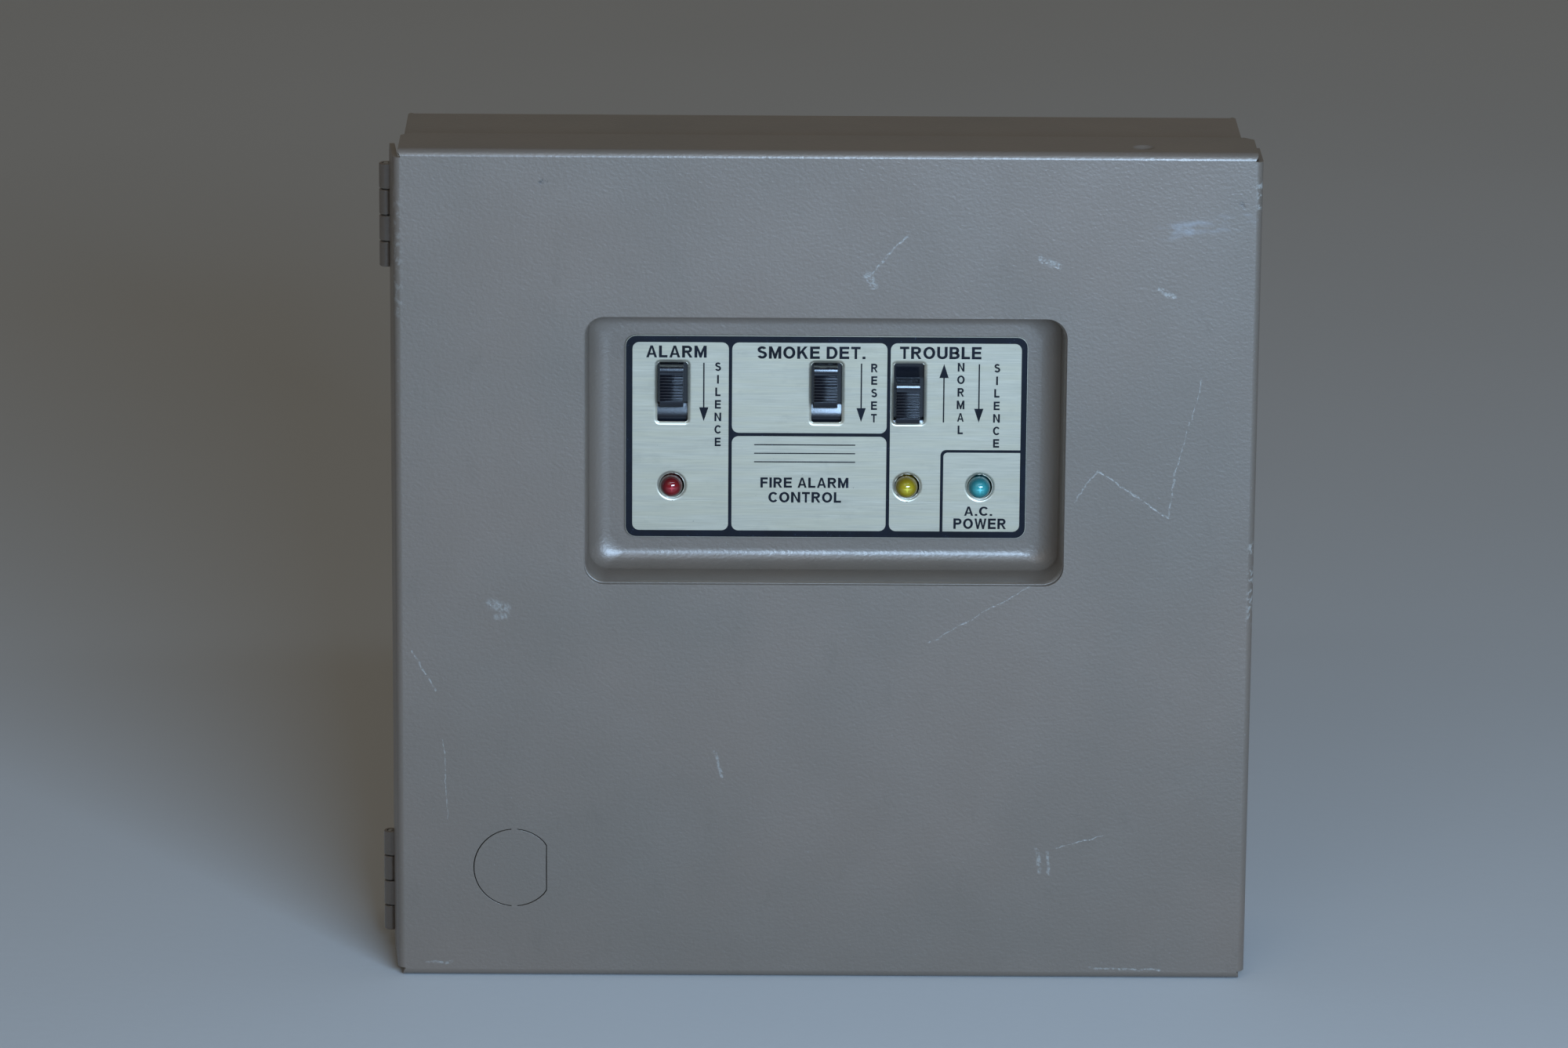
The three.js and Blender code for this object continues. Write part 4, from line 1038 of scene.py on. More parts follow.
def switch_case(name):
    """The switch's case: a metal shell with a pocket for the knob, over a moulded base."""
    node = f"{name}_switch_housing"
    low, high, x, z = measured(node)
    shape = Shape()
    pocket = rectangle(x - 1.8, x + 1.8, z - 5.25, z + 5.25)
    shape.prism(rounded_box(x, z, 9, 22, 0.8, 3), low.y, low.y + 3.9, holes=[pocket])
    shape.paint = 1
    shape.prism(rounded_box(x, z, 8.4, 21.4, 0.5, 3), low.y + 4.0, high.y)
    piece(f"{name}_switch_case", shape, [ZINC, DARK], "door", node, bevel=0.15)


def lamp(name, material):
    node = f"{name}_lamp"
    low, high = mm_box(node)
    centre = Vector(((low.x + high.x) / 2 - 0.15, 0, (low.z + high.z) / 2))
    base = low.y + 8.6
    radius = 2.7
    profile = [(0, 0), (2.7, 0), (2.9, 0.15), (2.9, 0.85), (2.75, 1.0), (radius + 0.02, 1.02)]
    profile += arc(0, 5.9, radius, 0, math.pi / 2 * 11 / 12, 11) + [(0, 8.6)]
    shape = Shape().lathe(profile, (centre.x, base, centre.z), 40)
    shape.paint = 1
    for side in (-1, 1):
        leg = centre.x + side * 1.27
        shape.post(leg, centre.z, 0.25, 0.25, base, high.y)
    piece(f"{name}_lamp_lens", shape, [material, TINNED], "door", node, bevel=0.04)


LENS_SLOT = {"alarm": "red", "trouble": "amber", "power": "green"}
# Deeper rim tone and lighter middle tone of each lens; the lighter middle is a painted glow.
LENS_TONES = {
    "alarm": ((70, 8, 14), (138, 22, 30)),
    "trouble": ((112, 92, 12), (176, 156, 28)),
    "power": ((24, 92, 96), (66, 158, 158)),
}


# ---------------------------------------------------------------- hinges

HINGE = {"pitch": 6.3, "knuckles": 4, "slack": 0.25, "outer": 1.7, "pin": 0.8, "leaf": 0.8}


def barrel(shape, x, y, low, high):
    """One knuckle: a rolled barrel with softened ends round the pin's hole."""
    r = HINGE["outer"]
    tall = high - low
    profile = [(0.95, 0.05), (r - 0.22, 0), (r - 0.06, 0.07), (r, 0.24), (r, tall - 0.24),
               (r - 0.06, tall - 0.07), (r - 0.22, tall), (0.95, tall - 0.05), (0.95, 0.05)]
    shape.lathe(profile, (x, y, low), 28, "z")


def hinge(place):
    """Two folded leaves, whose knuckles take turns along a pin."""
    pin_low, pin_high = mm_box(f"{place}_hinge_pin")
    x, y = (pin_low.x + pin_high.x) / 2, (pin_low.y + pin_high.y) / 2
    z = (pin_low.z + pin_high.z) / 2
    door_low, door_high = mm_box(f"{place}_hinge_door_leaf")
    case_high = mm_box(f"{place}_hinge_cabinet_leaf")[1]
    outer, leaf = HINGE["outer"], HINGE["leaf"]
    half = HINGE["pitch"] * HINGE["knuckles"] / 2
    near, far = y - outer + leaf / 2, y + outer - leaf / 2
    wall = case_high.x - leaf / 2
    inner = door_high.x - leaf / 2
    lean = (inner - (-103.0 + SHEET + 0.3 + leaf / 2)) * 0.55
    lines = {
        "door": [(inner, door_low.y), (inner - lean, near), (x, near)],
        "cabinet": [(x, far), (wall, far), (wall, case_high.y)],
    }
    for body, own in (("door", (0, 2)), ("cabinet", (1, 3))):
        shape = Shape()
        for k in range(HINGE["knuckles"]):
            top = z + half - k * HINGE["pitch"]
            low, high = top - HINGE["pitch"] + HINGE["slack"] / 2, top - HINGE["slack"] / 2
            if k in own:
                barrel(shape, x, y, low, high)
                shape.prism(strip_outline(lines[body], leaf, 0.9), low, high, "z")
            else:
                if body == "door":
                    start, end, share = lines[body][0], lines[body][1], 0.22
                    cut = [start, tuple(Vector(end).lerp(Vector(start), share))]
                else:
                    start, end, share = lines[body][1], lines[body][2], 0.25
                    cut = [tuple(Vector(start).lerp(Vector(end), share)), end]
                strip = strip_outline(cut, leaf, 0.9)
                shape.prism(strip, top - HINGE["pitch"] - 0.125, top + 0.125, "z")
        node = f"{place}_hinge_{body}_leaf"
        piece(f"{place}_hinge_{body}_side", shape, PAINT, body, node, bevel=0.08)
    shape = Shape()
    r = HINGE["pin"]
    length = 2 * half - 0.1
    profile = [(0, 0), (r * 0.6, 0.02), (r, 0.25), (r, length - 0.25), (r * 0.6, length - 0.02),
               (0, length)]
    shape.lathe(profile, (x, y, z - half + 0.05), 20, "z")
    piece(f"{place}_hinge_rod", shape, ZINC, "cabinet", f"{place}_hinge_pin", bevel=0.04)


# ---------------------------------------------------------------- cabinet


def keyhole_outline(x, z):
    wide, narrow, rise = KEYHOLE["round"], KEYHOLE["slot"], KEYHOLE["rise"]
    join = math.asin(narrow / wide)
    lower = arc(x, z, wide, math.pi / 2 + join, TURN + math.pi / 2 - join, 28)
    return lower + arc(x, z + rise, narrow, 0, math.pi, 12)


def cabinet_shell():
    low, high = mm_box("cabinet_shell")
    x = (low.x + high.x) / 2
    half = ((high.x - low.x) / 2, high.z)
    holes = []
    for side in (-1, 1):
        holes.append(keyhole_outline(x + side * 90, 86))
        holes.append(circle(x + side * 90, -90, 2.5, 24))
    knockout = lambda x, y, upright: ring_slits(x, y, lambda a: KNOCKOUT_RADIUS, 0.4, 0.11, upright)
    holes += knockout(-55, -66, False)
    shape = Shape()
    bottom = [slit for across in BOTTOM_KNOCKOUTS["x"]
              for slit in knockout(across, BOTTOM_KNOCKOUTS["y"], True)]
    catch = circle(CATCH["x"], mm_box("door_panel")[0].y + CATCH["behind"], 2.4, 32)
    tray(shape, (x, 0), half, 0.0, low.y, (half[1] - 0.12, half[0] - 0.12), holes, cut=0.3,
         pierced={0: bottom, 2: [catch]})
    face_out(shape, (x, -24, 0))
    piece("cabinet_skin", shape, PAINT, "cabinet", "cabinet_shell", bevel=0.14,
          sheet=SHEET)


# ---------------------------------------------------------------- boards and their parts

SCREW_HEAD = 2.6  # radius
WIRE_RADIUS = {"loom": 0.74, "lead": 0.9}
WIRE_TONES = {
    "red": (150, 26, 22), "black": (24, 24, 26), "yellow": (196, 168, 38), "green": (38, 108, 62),
    "blue": (40, 72, 140), "white": (206, 203, 192), "orange": (196, 98, 32), "brown": (92, 56, 36),
}
WIRES = {name: plastic(f"{name}_wire", tone, 0.4, texture=1.2) for name, tone in WIRE_TONES.items()}
RESISTOR = plastic("resistor_body", (196, 176, 138), 0.4, texture=0.5)
CERAMIC = plastic("ceramic", (186, 116, 56), 0.45, texture=0.4, depth=0.02)
SLEEVE = plastic("capacitor_sleeve", (34, 54, 108), 0.3, coat=0.2)
SLEEVE_STRIPE = plastic("sleeve_stripe", (176, 182, 190), 0.35)
GLASS_TONE = plastic("fuse_glass", (196, 206, 206), 0.08, coat=0.8, texture=2.0, depth=0.002)
GLASS_TONE.node_tree.nodes["Principled BSDF"].inputs["Transmission Weight"].default_value = 0.75
PAPER = plastic("plain_label", (206, 204, 192), 0.6, texture=0.4)


def hexagon(x, z, across_flats):
    return circle(x, z, across_flats / math.sqrt(3), 6)


def board(node, corner_inset):
    """A routed board with a plated ring round each fixing hole."""
    low, high, x, z = measured(node)
    shape = Shape()
    across, up = corner_inset
    fixings = [(x, z) for x in (low.x + across, high.x - across) for z in (low.z + up, high.z - up)]
    outline = rounded_box(x, z, high.x - low.x, high.z - low.z, 1.0, 4)
    shape.prism(outline, low.y, high.y, holes=[circle(x, z, 1.7, 24) for x, z in fixings])
    shape.paint = 1
    for x, z in fixings:
        for y0, y1 in ((low.y - 0.05, low.y), (high.y, high.y + 0.05)):
            shape.prism(circle(x, z, 3.2, 32), y0, y1, holes=[circle(x, z, 1.75, 24)])
    return shape, low, high


def joint(shape, x, y, z):
    """A solder joint on a board's rear: a small cone round the end of a lead."""
    profile = [(1.05, 0), (0.9, -0.12), (0.5, -0.42), (0.32, -0.9), (0.28, -1.25), (0, -1.32)]
    shape.lathe(profile, (x, y, z), 14)


TRACK_RISE = 0.05


def track(shape, path, y, width):
    """A copper track TRACK_RISE thick, through the given (x, z) points."""
    outline = strip_outline(path, width, max(width * 0.8, 0.9), 2)
    shape.prism(outline, y, y + TRACK_RISE)


def main_board():
    shape, low, high = board("main_board", (4.5, 4.5))
    piece("main_board_sheet", shape, [LAMINATE, TINNED], "cabinet", "main_board",
          bevel=0.08)
    tracks = Shape()
    y = low.y - TRACK_RISE
    strip_low, strip_high = mm_box("field_terminal_strip")
    chips = [middle("timer_chip"), middle("logic_chip")]
    for i in range(10):
        x = strip_low.x + 5.35 + 9.5 * i
        chip = chips[0] if i < 5 else chips[1]
        end = chip.x - 7.6 + 2.54 * (i % 5) + 1.3
        lane = -11 + 3.1 * (i % 5)
        rise = lane + abs(end - x)
        if rise < chip.z - 6:
            path = [(end, rise), (end, chip.z - 4.4)]
        else:
            aside = x + math.copysign(8, end - x)
            path = [(aside, lane + 8), (aside, chip.z - 12)]
        track(tracks, [(x, strip_high.z - 1), (x, lane), *path], y, 0.8)
    for i in range(3):
        x = middle("power_terminal_strip").x - 9.5 + 9.5 * i
        lane, end = -6 + 4 * i, 46 + 3 * i
        track(tracks, [(x, strip_high.z - 1), (x, lane), (end, lane + 10), (end, 56)], y, 2.0)
    for i in range(6):
        z = 51 + 1.7 * i
        track(tracks, [(-70 + 3 * i, 20 + 2 * i), (-70 + 3 * i, z), (-12 + 4 * i, z)], y, 0.8)
    for i in range(4):
        x, z = 2.2 * i, 3 * i
        track(tracks, [(x - 72, -8), (x - 72, z + 8), (x - 60, z + 20), (-38, z + 20)], y, 0.8)
    piece("main_board_tracks", tracks, COPPER_TRACK, "cabinet")


def resistors():
    """Small resistors in two orderly rows, each with four colour bands and bent leads."""
    draw = random.Random(11)
    face = mm_box("main_board")[0].y
    y = face - 1.5
    body = [(0, 0), (0.75, 0.05), (1.15, 0.5), (1.15, 1.5), (0.95, 1.9), (0.95, 4.6), (1.15, 5.0),
            (1.15, 6.0), (0.75, 6.45), (0, 6.5)]
    shape = Shape()
    spots = [(x, z) for z in (-7, -1, 26, 31.5) for x in (-50, -36, -22, -8, 6, 20, 34)]
    for x, z in draw.sample(spots, 20):
        shape.paint = 0
        shape.lathe(body, (x - 3.25, y, z), 14, "x")
        for k, at in enumerate((1.0, 2.3, 3.3, 5.5)):
            shape.paint = draw.randint(2, 6) if k < 3 else 6
            r = 1.19 if at in (1.0, 5.5) else 0.99
            shape.band((0.8, r), (at - 0.26, at + 0.26), (x - 3.25, y, z), 14, "x")
        shape.paint = 1
        for side in (-1, 1):
            lead = [(x + side * 3.1, y, z), (x + side * 4.2, y, z), (x + side * 4.9, y + 0.3, z),
                    (x + side * 5.1, y + 0.9, z), (x + side * 5.1, face + 0.1, z)]
            shape.tube(lead, 0.3, 6)
    bands = [WIRES[tone] for tone in ("brown", "red", "yellow", "orange")]
    piece("main_board_resistors", shape, [RESISTOR, TINNED, *bands, BRASS], "cabinet")


def small_parts():
    """Transistors, disc capacitors and diodes on the main board."""
    face = mm_box("main_board")[0].y
    transistors = Shape()
    for x, z in ((-60, 32), (-60, 42), (30, 44), (38, 44), (30, 53)):
        outline = arc(x, z, 2.3, -0.75, math.pi + 0.75, 14)
        transistors.paint = 0
        transistors.prism(outline, face - 6.6, face - 1.9)
        transistors.paint = 1
        for side in (-1.27, 0, 1.27):
            transistors.post(x + side, z, 0.22, 0.22, face - 2, face)
    piece("main_board_transistors", transistors, [DARK, TINNED], "cabinet", bevel=0.15)
    discs = Shape()
    profile = [(0, 0), (2.2, 0.1), (2.9, 0.5), (3.1, 1.0), (2.9, 1.5), (2.2, 1.9), (0, 2.0)]
    for x, z in ((-66, 14), (-66, 6), (44, 30), (44, 22), (20, 50), (-42, 52)):
        discs.paint = 0
        discs.lathe(profile, (x - 1, face - 4.6, z), 24, "x")
        discs.paint = 1
        for side in (-2, 2):
            path = [(x, face - 2.4, z + side * 0.8), (x, face - 1.2, z + side), (x, face, z + side)]
            discs.tube(path, 0.28, 6)
    piece("main_board_disc_capacitors", discs, [CERAMIC, TINNED], "cabinet")
    tall = Shape()
    for x, z, r, h in ((-20, 54, 3.2, 11), (-10, 28, 2.6, 9), (44, 60, 3.2, 11), (48, 4, 2.6, 9)):
        tall.paint = 0
        rings = [(0, 0), (r, 0.1), (r, 1.1), (r - 0.28, 1.5), (r, 1.9), (r, h - 0.3), (r - 0.3, h),
                 (0, h)]
        tall.lathe(rings, (x, face, z), 28)
        tall.paint = 1
        stripe = arc(x, z, r + 0.04, -0.35, 0.35, 6) + arc(x, z, r - 0.2, 0.35, -0.35, 6)
        tall.prism(stripe, face - h + 0.5, face - 2.1)
    piece("main_board_small_capacitors", tall, [SLEEVE, SLEEVE_STRIPE], "cabinet")
    diodes = Shape()
    for i in range(5):
        x, z, y = 14 + 6 * i, 14, face - 1.5
        diodes.paint = 0
        foot = (x, y, z - 2.6)
        body = [(0, 0), (1.1, 0.1), (1.35, 0.4), (1.35, 4.8), (1.1, 5.1), (0, 5.2)]
        diodes.lathe(body, foot, 18, "z")
        diodes.paint = 1
        diodes.band((1.2, 1.39), (3.8, 4.5), foot, 18, "z")
        diodes.paint = 2
        for side in (-1, 1):
            path = [(x, y, z + side * 2.5), (x, y, z + side * 3.6), (x, y + 0.4, z + side * 4.1),
                    (x, face, z + side * 4.2)]
            diodes.tube(path, 0.35, 6)
    piece("main_board_diodes", diodes, [DARK, SLEEVE_STRIPE, TINNED], "cabinet")


STRIP = {"pitch": 9.5, "wall": 1.2}


def terminal_strip(node):
    """A barrier strip: moulded walls, and two plates with a slotted screw in each way."""
    low, high, _, z = measured(node)
    pitch, wall = STRIP["pitch"], STRIP["wall"]
    ways = round((high.x - low.x - wall) / pitch)
    shape = Shape()
    deck, ridge = high.y - 5.6, high.y - 9
    foot = [(high.y, low.z), (high.y, high.z), (deck, high.z), (deck, z + 2.2), (ridge, z + 1.8),
            (ridge, z - 1.8), (deck, z - 2.2), (deck, low.z)]
    shape.prism(foot, low.x, high.x, "x")
    for i in range(ways + 1):
        x = low.x + i * pitch
        fin = rounded([(high.y - 0.2, low.z, 0), (high.y - 0.2, high.z, 0), (low.y, high.z, 1.6),
                       (low.y, low.z, 1.6)], 4)
        shape.prism(fin, x, x + wall, "x")
    for i in range(ways):
        x = low.x + wall + pitch * i + (pitch - wall) / 2
        for row in (-1, 1):
            zz = z + row * 5.0
            shape.paint = 1
            shape.prism(rounded_box(x, zz, 7.4, 5.0, 0.5, 3), high.y - 6.3, high.y - 5.55)
            screw_head(shape, x, high.y - 6.3, zz, 2.3, 2, turn=0.7 * i + 1.3 * row)
    piece(f"{node}_moulding", shape, [BLACK, BRASS, ZINC], "cabinet", node,
          bevel=0.12)


def screw_head(shape, x, y, z, radius, paint_index, turn=0.0, outward=-1):
    """A slotted pan head standing out of y, towards -Y unless outward is 1."""
    shape.paint = paint_index
    slot = 0.34
    for half in (0, math.pi):
        edge = math.asin(slot / radius)
        angles = [half + turn + edge + (math.pi - 2 * edge) * i / 14 for i in range(15)]
        crown = []
        for share, rise in ((1.0, 0.0), (1.0, 0.75), (0.9, 1.25), (0.7, 1.55)):
            reach, top = radius * share, y + outward * rise
            crown.append([(x + reach * math.cos(a), top, z + reach * math.sin(a)) for a in angles])
        shape.loft(crown)
    base = circle(x, z, radius * 0.97, 24)
    shape.prism(base, *sorted((y, y + outward * 0.7)))


def screw(node, outward=-1):
    low, high, x, z = measured(node)
    seat = low.y + 1.8 if outward < 0 else high.y - 1.8
    shape = Shape()
    screw_head(shape, x, seat, z, SCREW_HEAD, 0, turn=x * 0.31 + z * 0.17, outward=outward)
    far = high.y if outward < 0 else low.y
    shank = circle(x, z, 1.28, 20)
    shape.prism(shank, *sorted((seat, far)))
    body = frame["nodes"][node]["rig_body"]
    piece(f"{node}_slotted", shape, ZINC, body, node, bevel=0.06)


def spacer(node, across, bore):
    low, high, x, z = measured(node)
    shape = Shape()
    shape.prism(hexagon(x, z, across), low.y, high.y, holes=[circle(x, z, bore, 24)])
    body = frame["nodes"][node]["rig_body"]
    piece(f"{node}_hex", shape, ZINC, body, node, bevel=0.12)


def relay(node):
    low, high, x, z = measured(node)
    shape = Shape()
    w, h = high.x - low.x, high.z - low.z
    shape.prism(rounded_box(x, z, w, h, 1.0, 5), low.y, high.y - 1.6)
    shape.prism(rounded_box(x, z, w - 0.8, h - 0.8, 0.8, 5), high.y - 1.7, high.y - 0.4)
    nub = [(0, 0), (0.7, 0), (0.7, 0.3), (0.4, 0.45), (0, 0.45)]
    shape.lathe(nub, (high.x - 3, low.y, high.z - 3), 16)
    shape.paint = 1
    for dx in (-10, -2.5, 5, 10):
        for dz in (-4, 4):
            shape.post(x + dx, z + dz, 0.4, 0.25, high.y - 0.5, high.y + 0.4)
    piece(f"{node}_case", shape, [DARK, TINNED], "cabinet", node, bevel=0.25)


def sounder():
    low, high, x, z = measured("trouble_sounder")
    shape = Shape()
    profile = [(0, 0), (11.4, 0), (12, 0.5), (12, 2.2), (11.75, 2.5), (11.75, 2.9), (12, 3.2),
               (12, 8.8), (11.5, 9.7), (10.7, 10), (7.4, 10), (7.1, 9.75), (6.6, 9.75), (6.3, 10),
               (1.6, 10), (1.4, 9.8), (1.4, 8.2), (0, 8.2)]
    shape.lathe(profile, (x, high.y, z), 56)
    piece("trouble_sounder_can", shape, BLACK, "cabinet", "trouble_sounder")


def filter_capacitor():
    low, high, x, z = measured("filter_capacitor")
    r, h = 8.0, 25.0
    shape = Shape()
    profile = [(0, 0), (r - 0.3, 0.1), (r, 0.4), (r, 1.6), (r - 0.35, 2.0), (r - 0.45, 2.3),
               (r - 0.35, 2.6), (r, 3.0), (r, h - 0.5), (r - 0.2, h - 0.1), (r - 0.7, h),
               (r - 0.9, h - 0.25), (0, h - 0.25)]
    shape.lathe(profile, (x, high.y, z), 48)
    shape.paint = 1
    stripe = arc(x, z, r + 0.05, 3.5, 4.3, 10) + arc(x, z, r - 0.3, 4.3, 3.5, 10)
    shape.prism(stripe, high.y - h + 0.6, high.y - 3.2)
    shape.paint = 2
    disc = [(0, h - 0.3), (r - 1.0, h - 0.3), (r - 1.05, h - 0.12), (0, h - 0.1)]
    shape.lathe(disc, (x, high.y, z), 48)
    for half_x, half_z in ((5, 0.15), (0.15, 5)):
        shape.post(x, z, half_x, half_z, high.y - h, high.y - h + 0.15)
    piece("filter_capacitor_can", shape, [SLEEVE, SLEEVE_STRIPE, ALUMINIUM], "cabinet",
          "filter_capacitor")


def heat_sink():
    low, high = mm_box("heat_sink")
    shape = Shape()
    fins = 6
    span = high.x - low.x
    pitch = (span - 2.55) / (fins - 1)
    z0 = low.z
    outline = [(low.x, z0), (high.x, z0)]
    for i in range(fins - 1, -1, -1):
        x = low.x + i * pitch
        outline += [(x + 1.9, high.z - 0.4), (x + 1.6, high.z), (x + 0.9, high.z),
                    (x + 0.6, high.z - 0.4)]
        if i > 0:
            outline += [(x + 0.3, z0 + 2.9), (x - 0.1, z0 + 2.5), (x - pitch + 2.6, z0 + 2.5),
                        (x - pitch + 2.2, z0 + 2.9)]
    outline.append((low.x, high.z - 0.4))
    shape.prism(outline, low.y, high.y)
    piece("heat_sink_extrusion", shape, ALUMINIUM, "cabinet", "heat_sink", bevel=0.12)


def regulator():
    low, high = mm_box("voltage_regulator")
    x = (low.x + high.x) / 2
    back = high.z
    base = high.y
    shape = Shape()
    slab = lambda tip, root, outer, inner: rounded(
        [(x - 5, base - tip, outer), (x + 5, base - tip, outer), (x + 5, base - root, inner),
         (x - 5, base - root, inner)], 3)
    shape.prism(slab(14, 5, 0.3, 0.3), low.z, back - 0.4, "z")
    shape.paint = 1
    hole = circle(x, base - 17.4, 1.9, 20)
    shape.prism(slab(20.5, 5.2, 0.8, 0), back - 1.3, back, "z", holes=[hole])
    for side in (-2.54, 0, 2.54):
        shape.box((x + side - 0.4, base - 5.1, back - 2.7), (x + side + 0.4, base, back - 2.1))
    shape.paint = 2
    head = [(0, -1.8), (1.7, -1.8), (2.6, -1.8), (2.6, -0.8), (2.1, -0.2), (0, 0)]
    shape.lathe(head, (x, base - 17.4, back - 1.3), 24, "z")
    piece("voltage_regulator_body", shape, [DARK, TINNED, ZINC], "cabinet", "voltage_regulator",
          bevel=0.1)


def bridge():
    low, high, _, z = measured("bridge_rectifier")
    foot = high.y - 1.2
    shape = Shape()
    outline = [(low.x, foot), (high.x, foot), (high.x, low.y + 2), (high.x - 2, low.y),
               (low.x, low.y)]
    shape.prism(outline, low.z, high.z, "z")
    shape.paint = 1
    for i in range(4):
        x = low.x + 1.5 + 4 * i
        shape.post(x, z, 0.45, 0.3, high.y - 1.3, high.y)
    piece("bridge_rectifier_body", shape, [DARK, TINNED], "cabinet", "bridge_rectifier",
          bevel=0.3)


def chip(node):
    low, high, middle_x, z = measured(node)
    shape = Shape()
    mid = (low.y + high.y - 0.6) / 2
    tiers = ((low.y, 0.35), (mid - 0.15, 0.0), (mid + 0.15, 0.0), (high.y, 0.35))
    rows = []
    for y, inset in tiers:
        notch = arc(low.x + inset, z, 0.95, math.pi / 2, -math.pi / 2, 10)
        x0, x1, z0, z1 = low.x + inset, high.x - inset, low.z + inset, high.z - inset
        ring = [(x1, z0), (x1, z1), (x0, z1), *notch, (x0, z0)]
        rows.append([(u, y, v) for u, v in ring])
    shape.loft(rows)
    shape.paint = 1
    count = 8
    for i in range(count):
        x = middle_x - (count - 1) * 1.27 + 2.54 * i
        for side in (-1, 1):
            edge = z + side * (high.z - z)
            out = edge + side * 0.7
            pin = [(mid, edge - side * 0.2), (mid, out), (high.y + 0.5, out)]
            shape.prism(strip_outline(pin, 0.28, 0.3, 3), x - 0.5, x + 0.5, "x")
    piece(f"{node}_package", shape, [DARK, TINNED], "cabinet", node, bevel=0.05)


def fuse_and_holder():
    low, high, x, z = measured("fuse_holder")
    shape = Shape()
    shape.prism(rounded_box(x, z, high.x - low.x, high.z - low.z, 1.2, 4), high.y - 2.4, high.y)
    fuse_low, fuse_high = mm_box("fuse")
    y = (fuse_low.y + fuse_high.y) / 2
    shape.paint = 1
    for side in (-1, 1):
        cx = x + side * 12.4
        cup = arc(y, z, 3.6, math.radians(-128), math.radians(128), 16)
        lips = [(y - 3.6, z - 4.0), *cup, (y - 3.6, z + 4.0)]
        shape.prism(strip_outline(lips, 0.5, 0.2, 1), cx - 2.6, cx + 2.6, "x")
        shape.box((cx - 2.2, y + 3.7, z - 1.6), (cx + 2.2, high.y - 2.3, z + 1.6))
    piece("fuse_holder_clips", shape, [BLACK, BRASS], "cabinet", "fuse_holder",
          bevel=0.08)
    shape = Shape()
    r = 3.2
    cap = [(0, 0), (r - 0.4, 0), (r, 0.4), (r, 5.9), (r - 0.2, 6.2), (0, 6.2)]
    shape.paint = 1
    for start in (fuse_low.x, fuse_high.x - 6.2):
        shape.lathe(cap, (start, y, z), 32, "x")
    shape.paint = 0
    shape.band((2.6, 2.95), (6.0, 26), (fuse_low.x, y, z), 32, "x")
    shape.paint = 2
    shape.tube([(fuse_low.x + 6, y, z), (x, y + 0.5, z), (fuse_high.x - 6, y, z)], 0.16, 8)
    piece("fuse_cartridge", shape, [GLASS_TONE, TINNED, SOLDER], "cabinet", "fuse")


def connector(node, rear=False):
    """A plug in its header: a moulded shroud with a rib for each wire, and a key."""
    low, high, x, middle_z = measured(node)
    body = frame["nodes"][node]["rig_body"]
    shape = Shape()
    root = low.y if rear else high.y
    tip = high.y if rear else low.y
    sign = 1 if rear else -1
    shelf = root + sign * 6.4
    z0, z1 = low.z, high.z
    outline = rounded([(low.x, z0, 0.4), (high.x, z0, 0.4), (high.x, z1, 0.4), (low.x, z1, 0.4)], 3)
    near, far = sorted((root, shelf))
    shape.prism(outline, near, far)
    shape.prism(rounded_box(x, middle_z, 3, z1 - z0 - 3, 0.3, 3), *sorted((shelf, tip)))
    count = int((z1 - z0) / 2.0)
    for i in range(count):
        z = z0 + (i + 0.5) * (z1 - z0) / count
        shape.box((high.x, near + 1.2, z - 0.45), (high.x + 0.35, far - 1.2, z + 0.45))
    piece(f"{node}_body", shape, NYLON, body, node, bevel=0.12)


def nut(node):
    low, high, x, z = measured(node)
    shape = Shape()
    shape.prism(hexagon(x, z, 7), low.y, high.y, holes=[circle(x, z, 1.8, 24)])
    shape.lathe([(0, 0), (1.7, 0), (1.7, 1.6), (1.4, 2.0), (0, 2.0)], (x, low.y + 1.2, z), 20)
    piece(f"{node}_hex", shape, ZINC, "cabinet", node, bevel=0.2)


TAB_INSETS = (9, 25)  # the red and the black tab, from the battery's right side


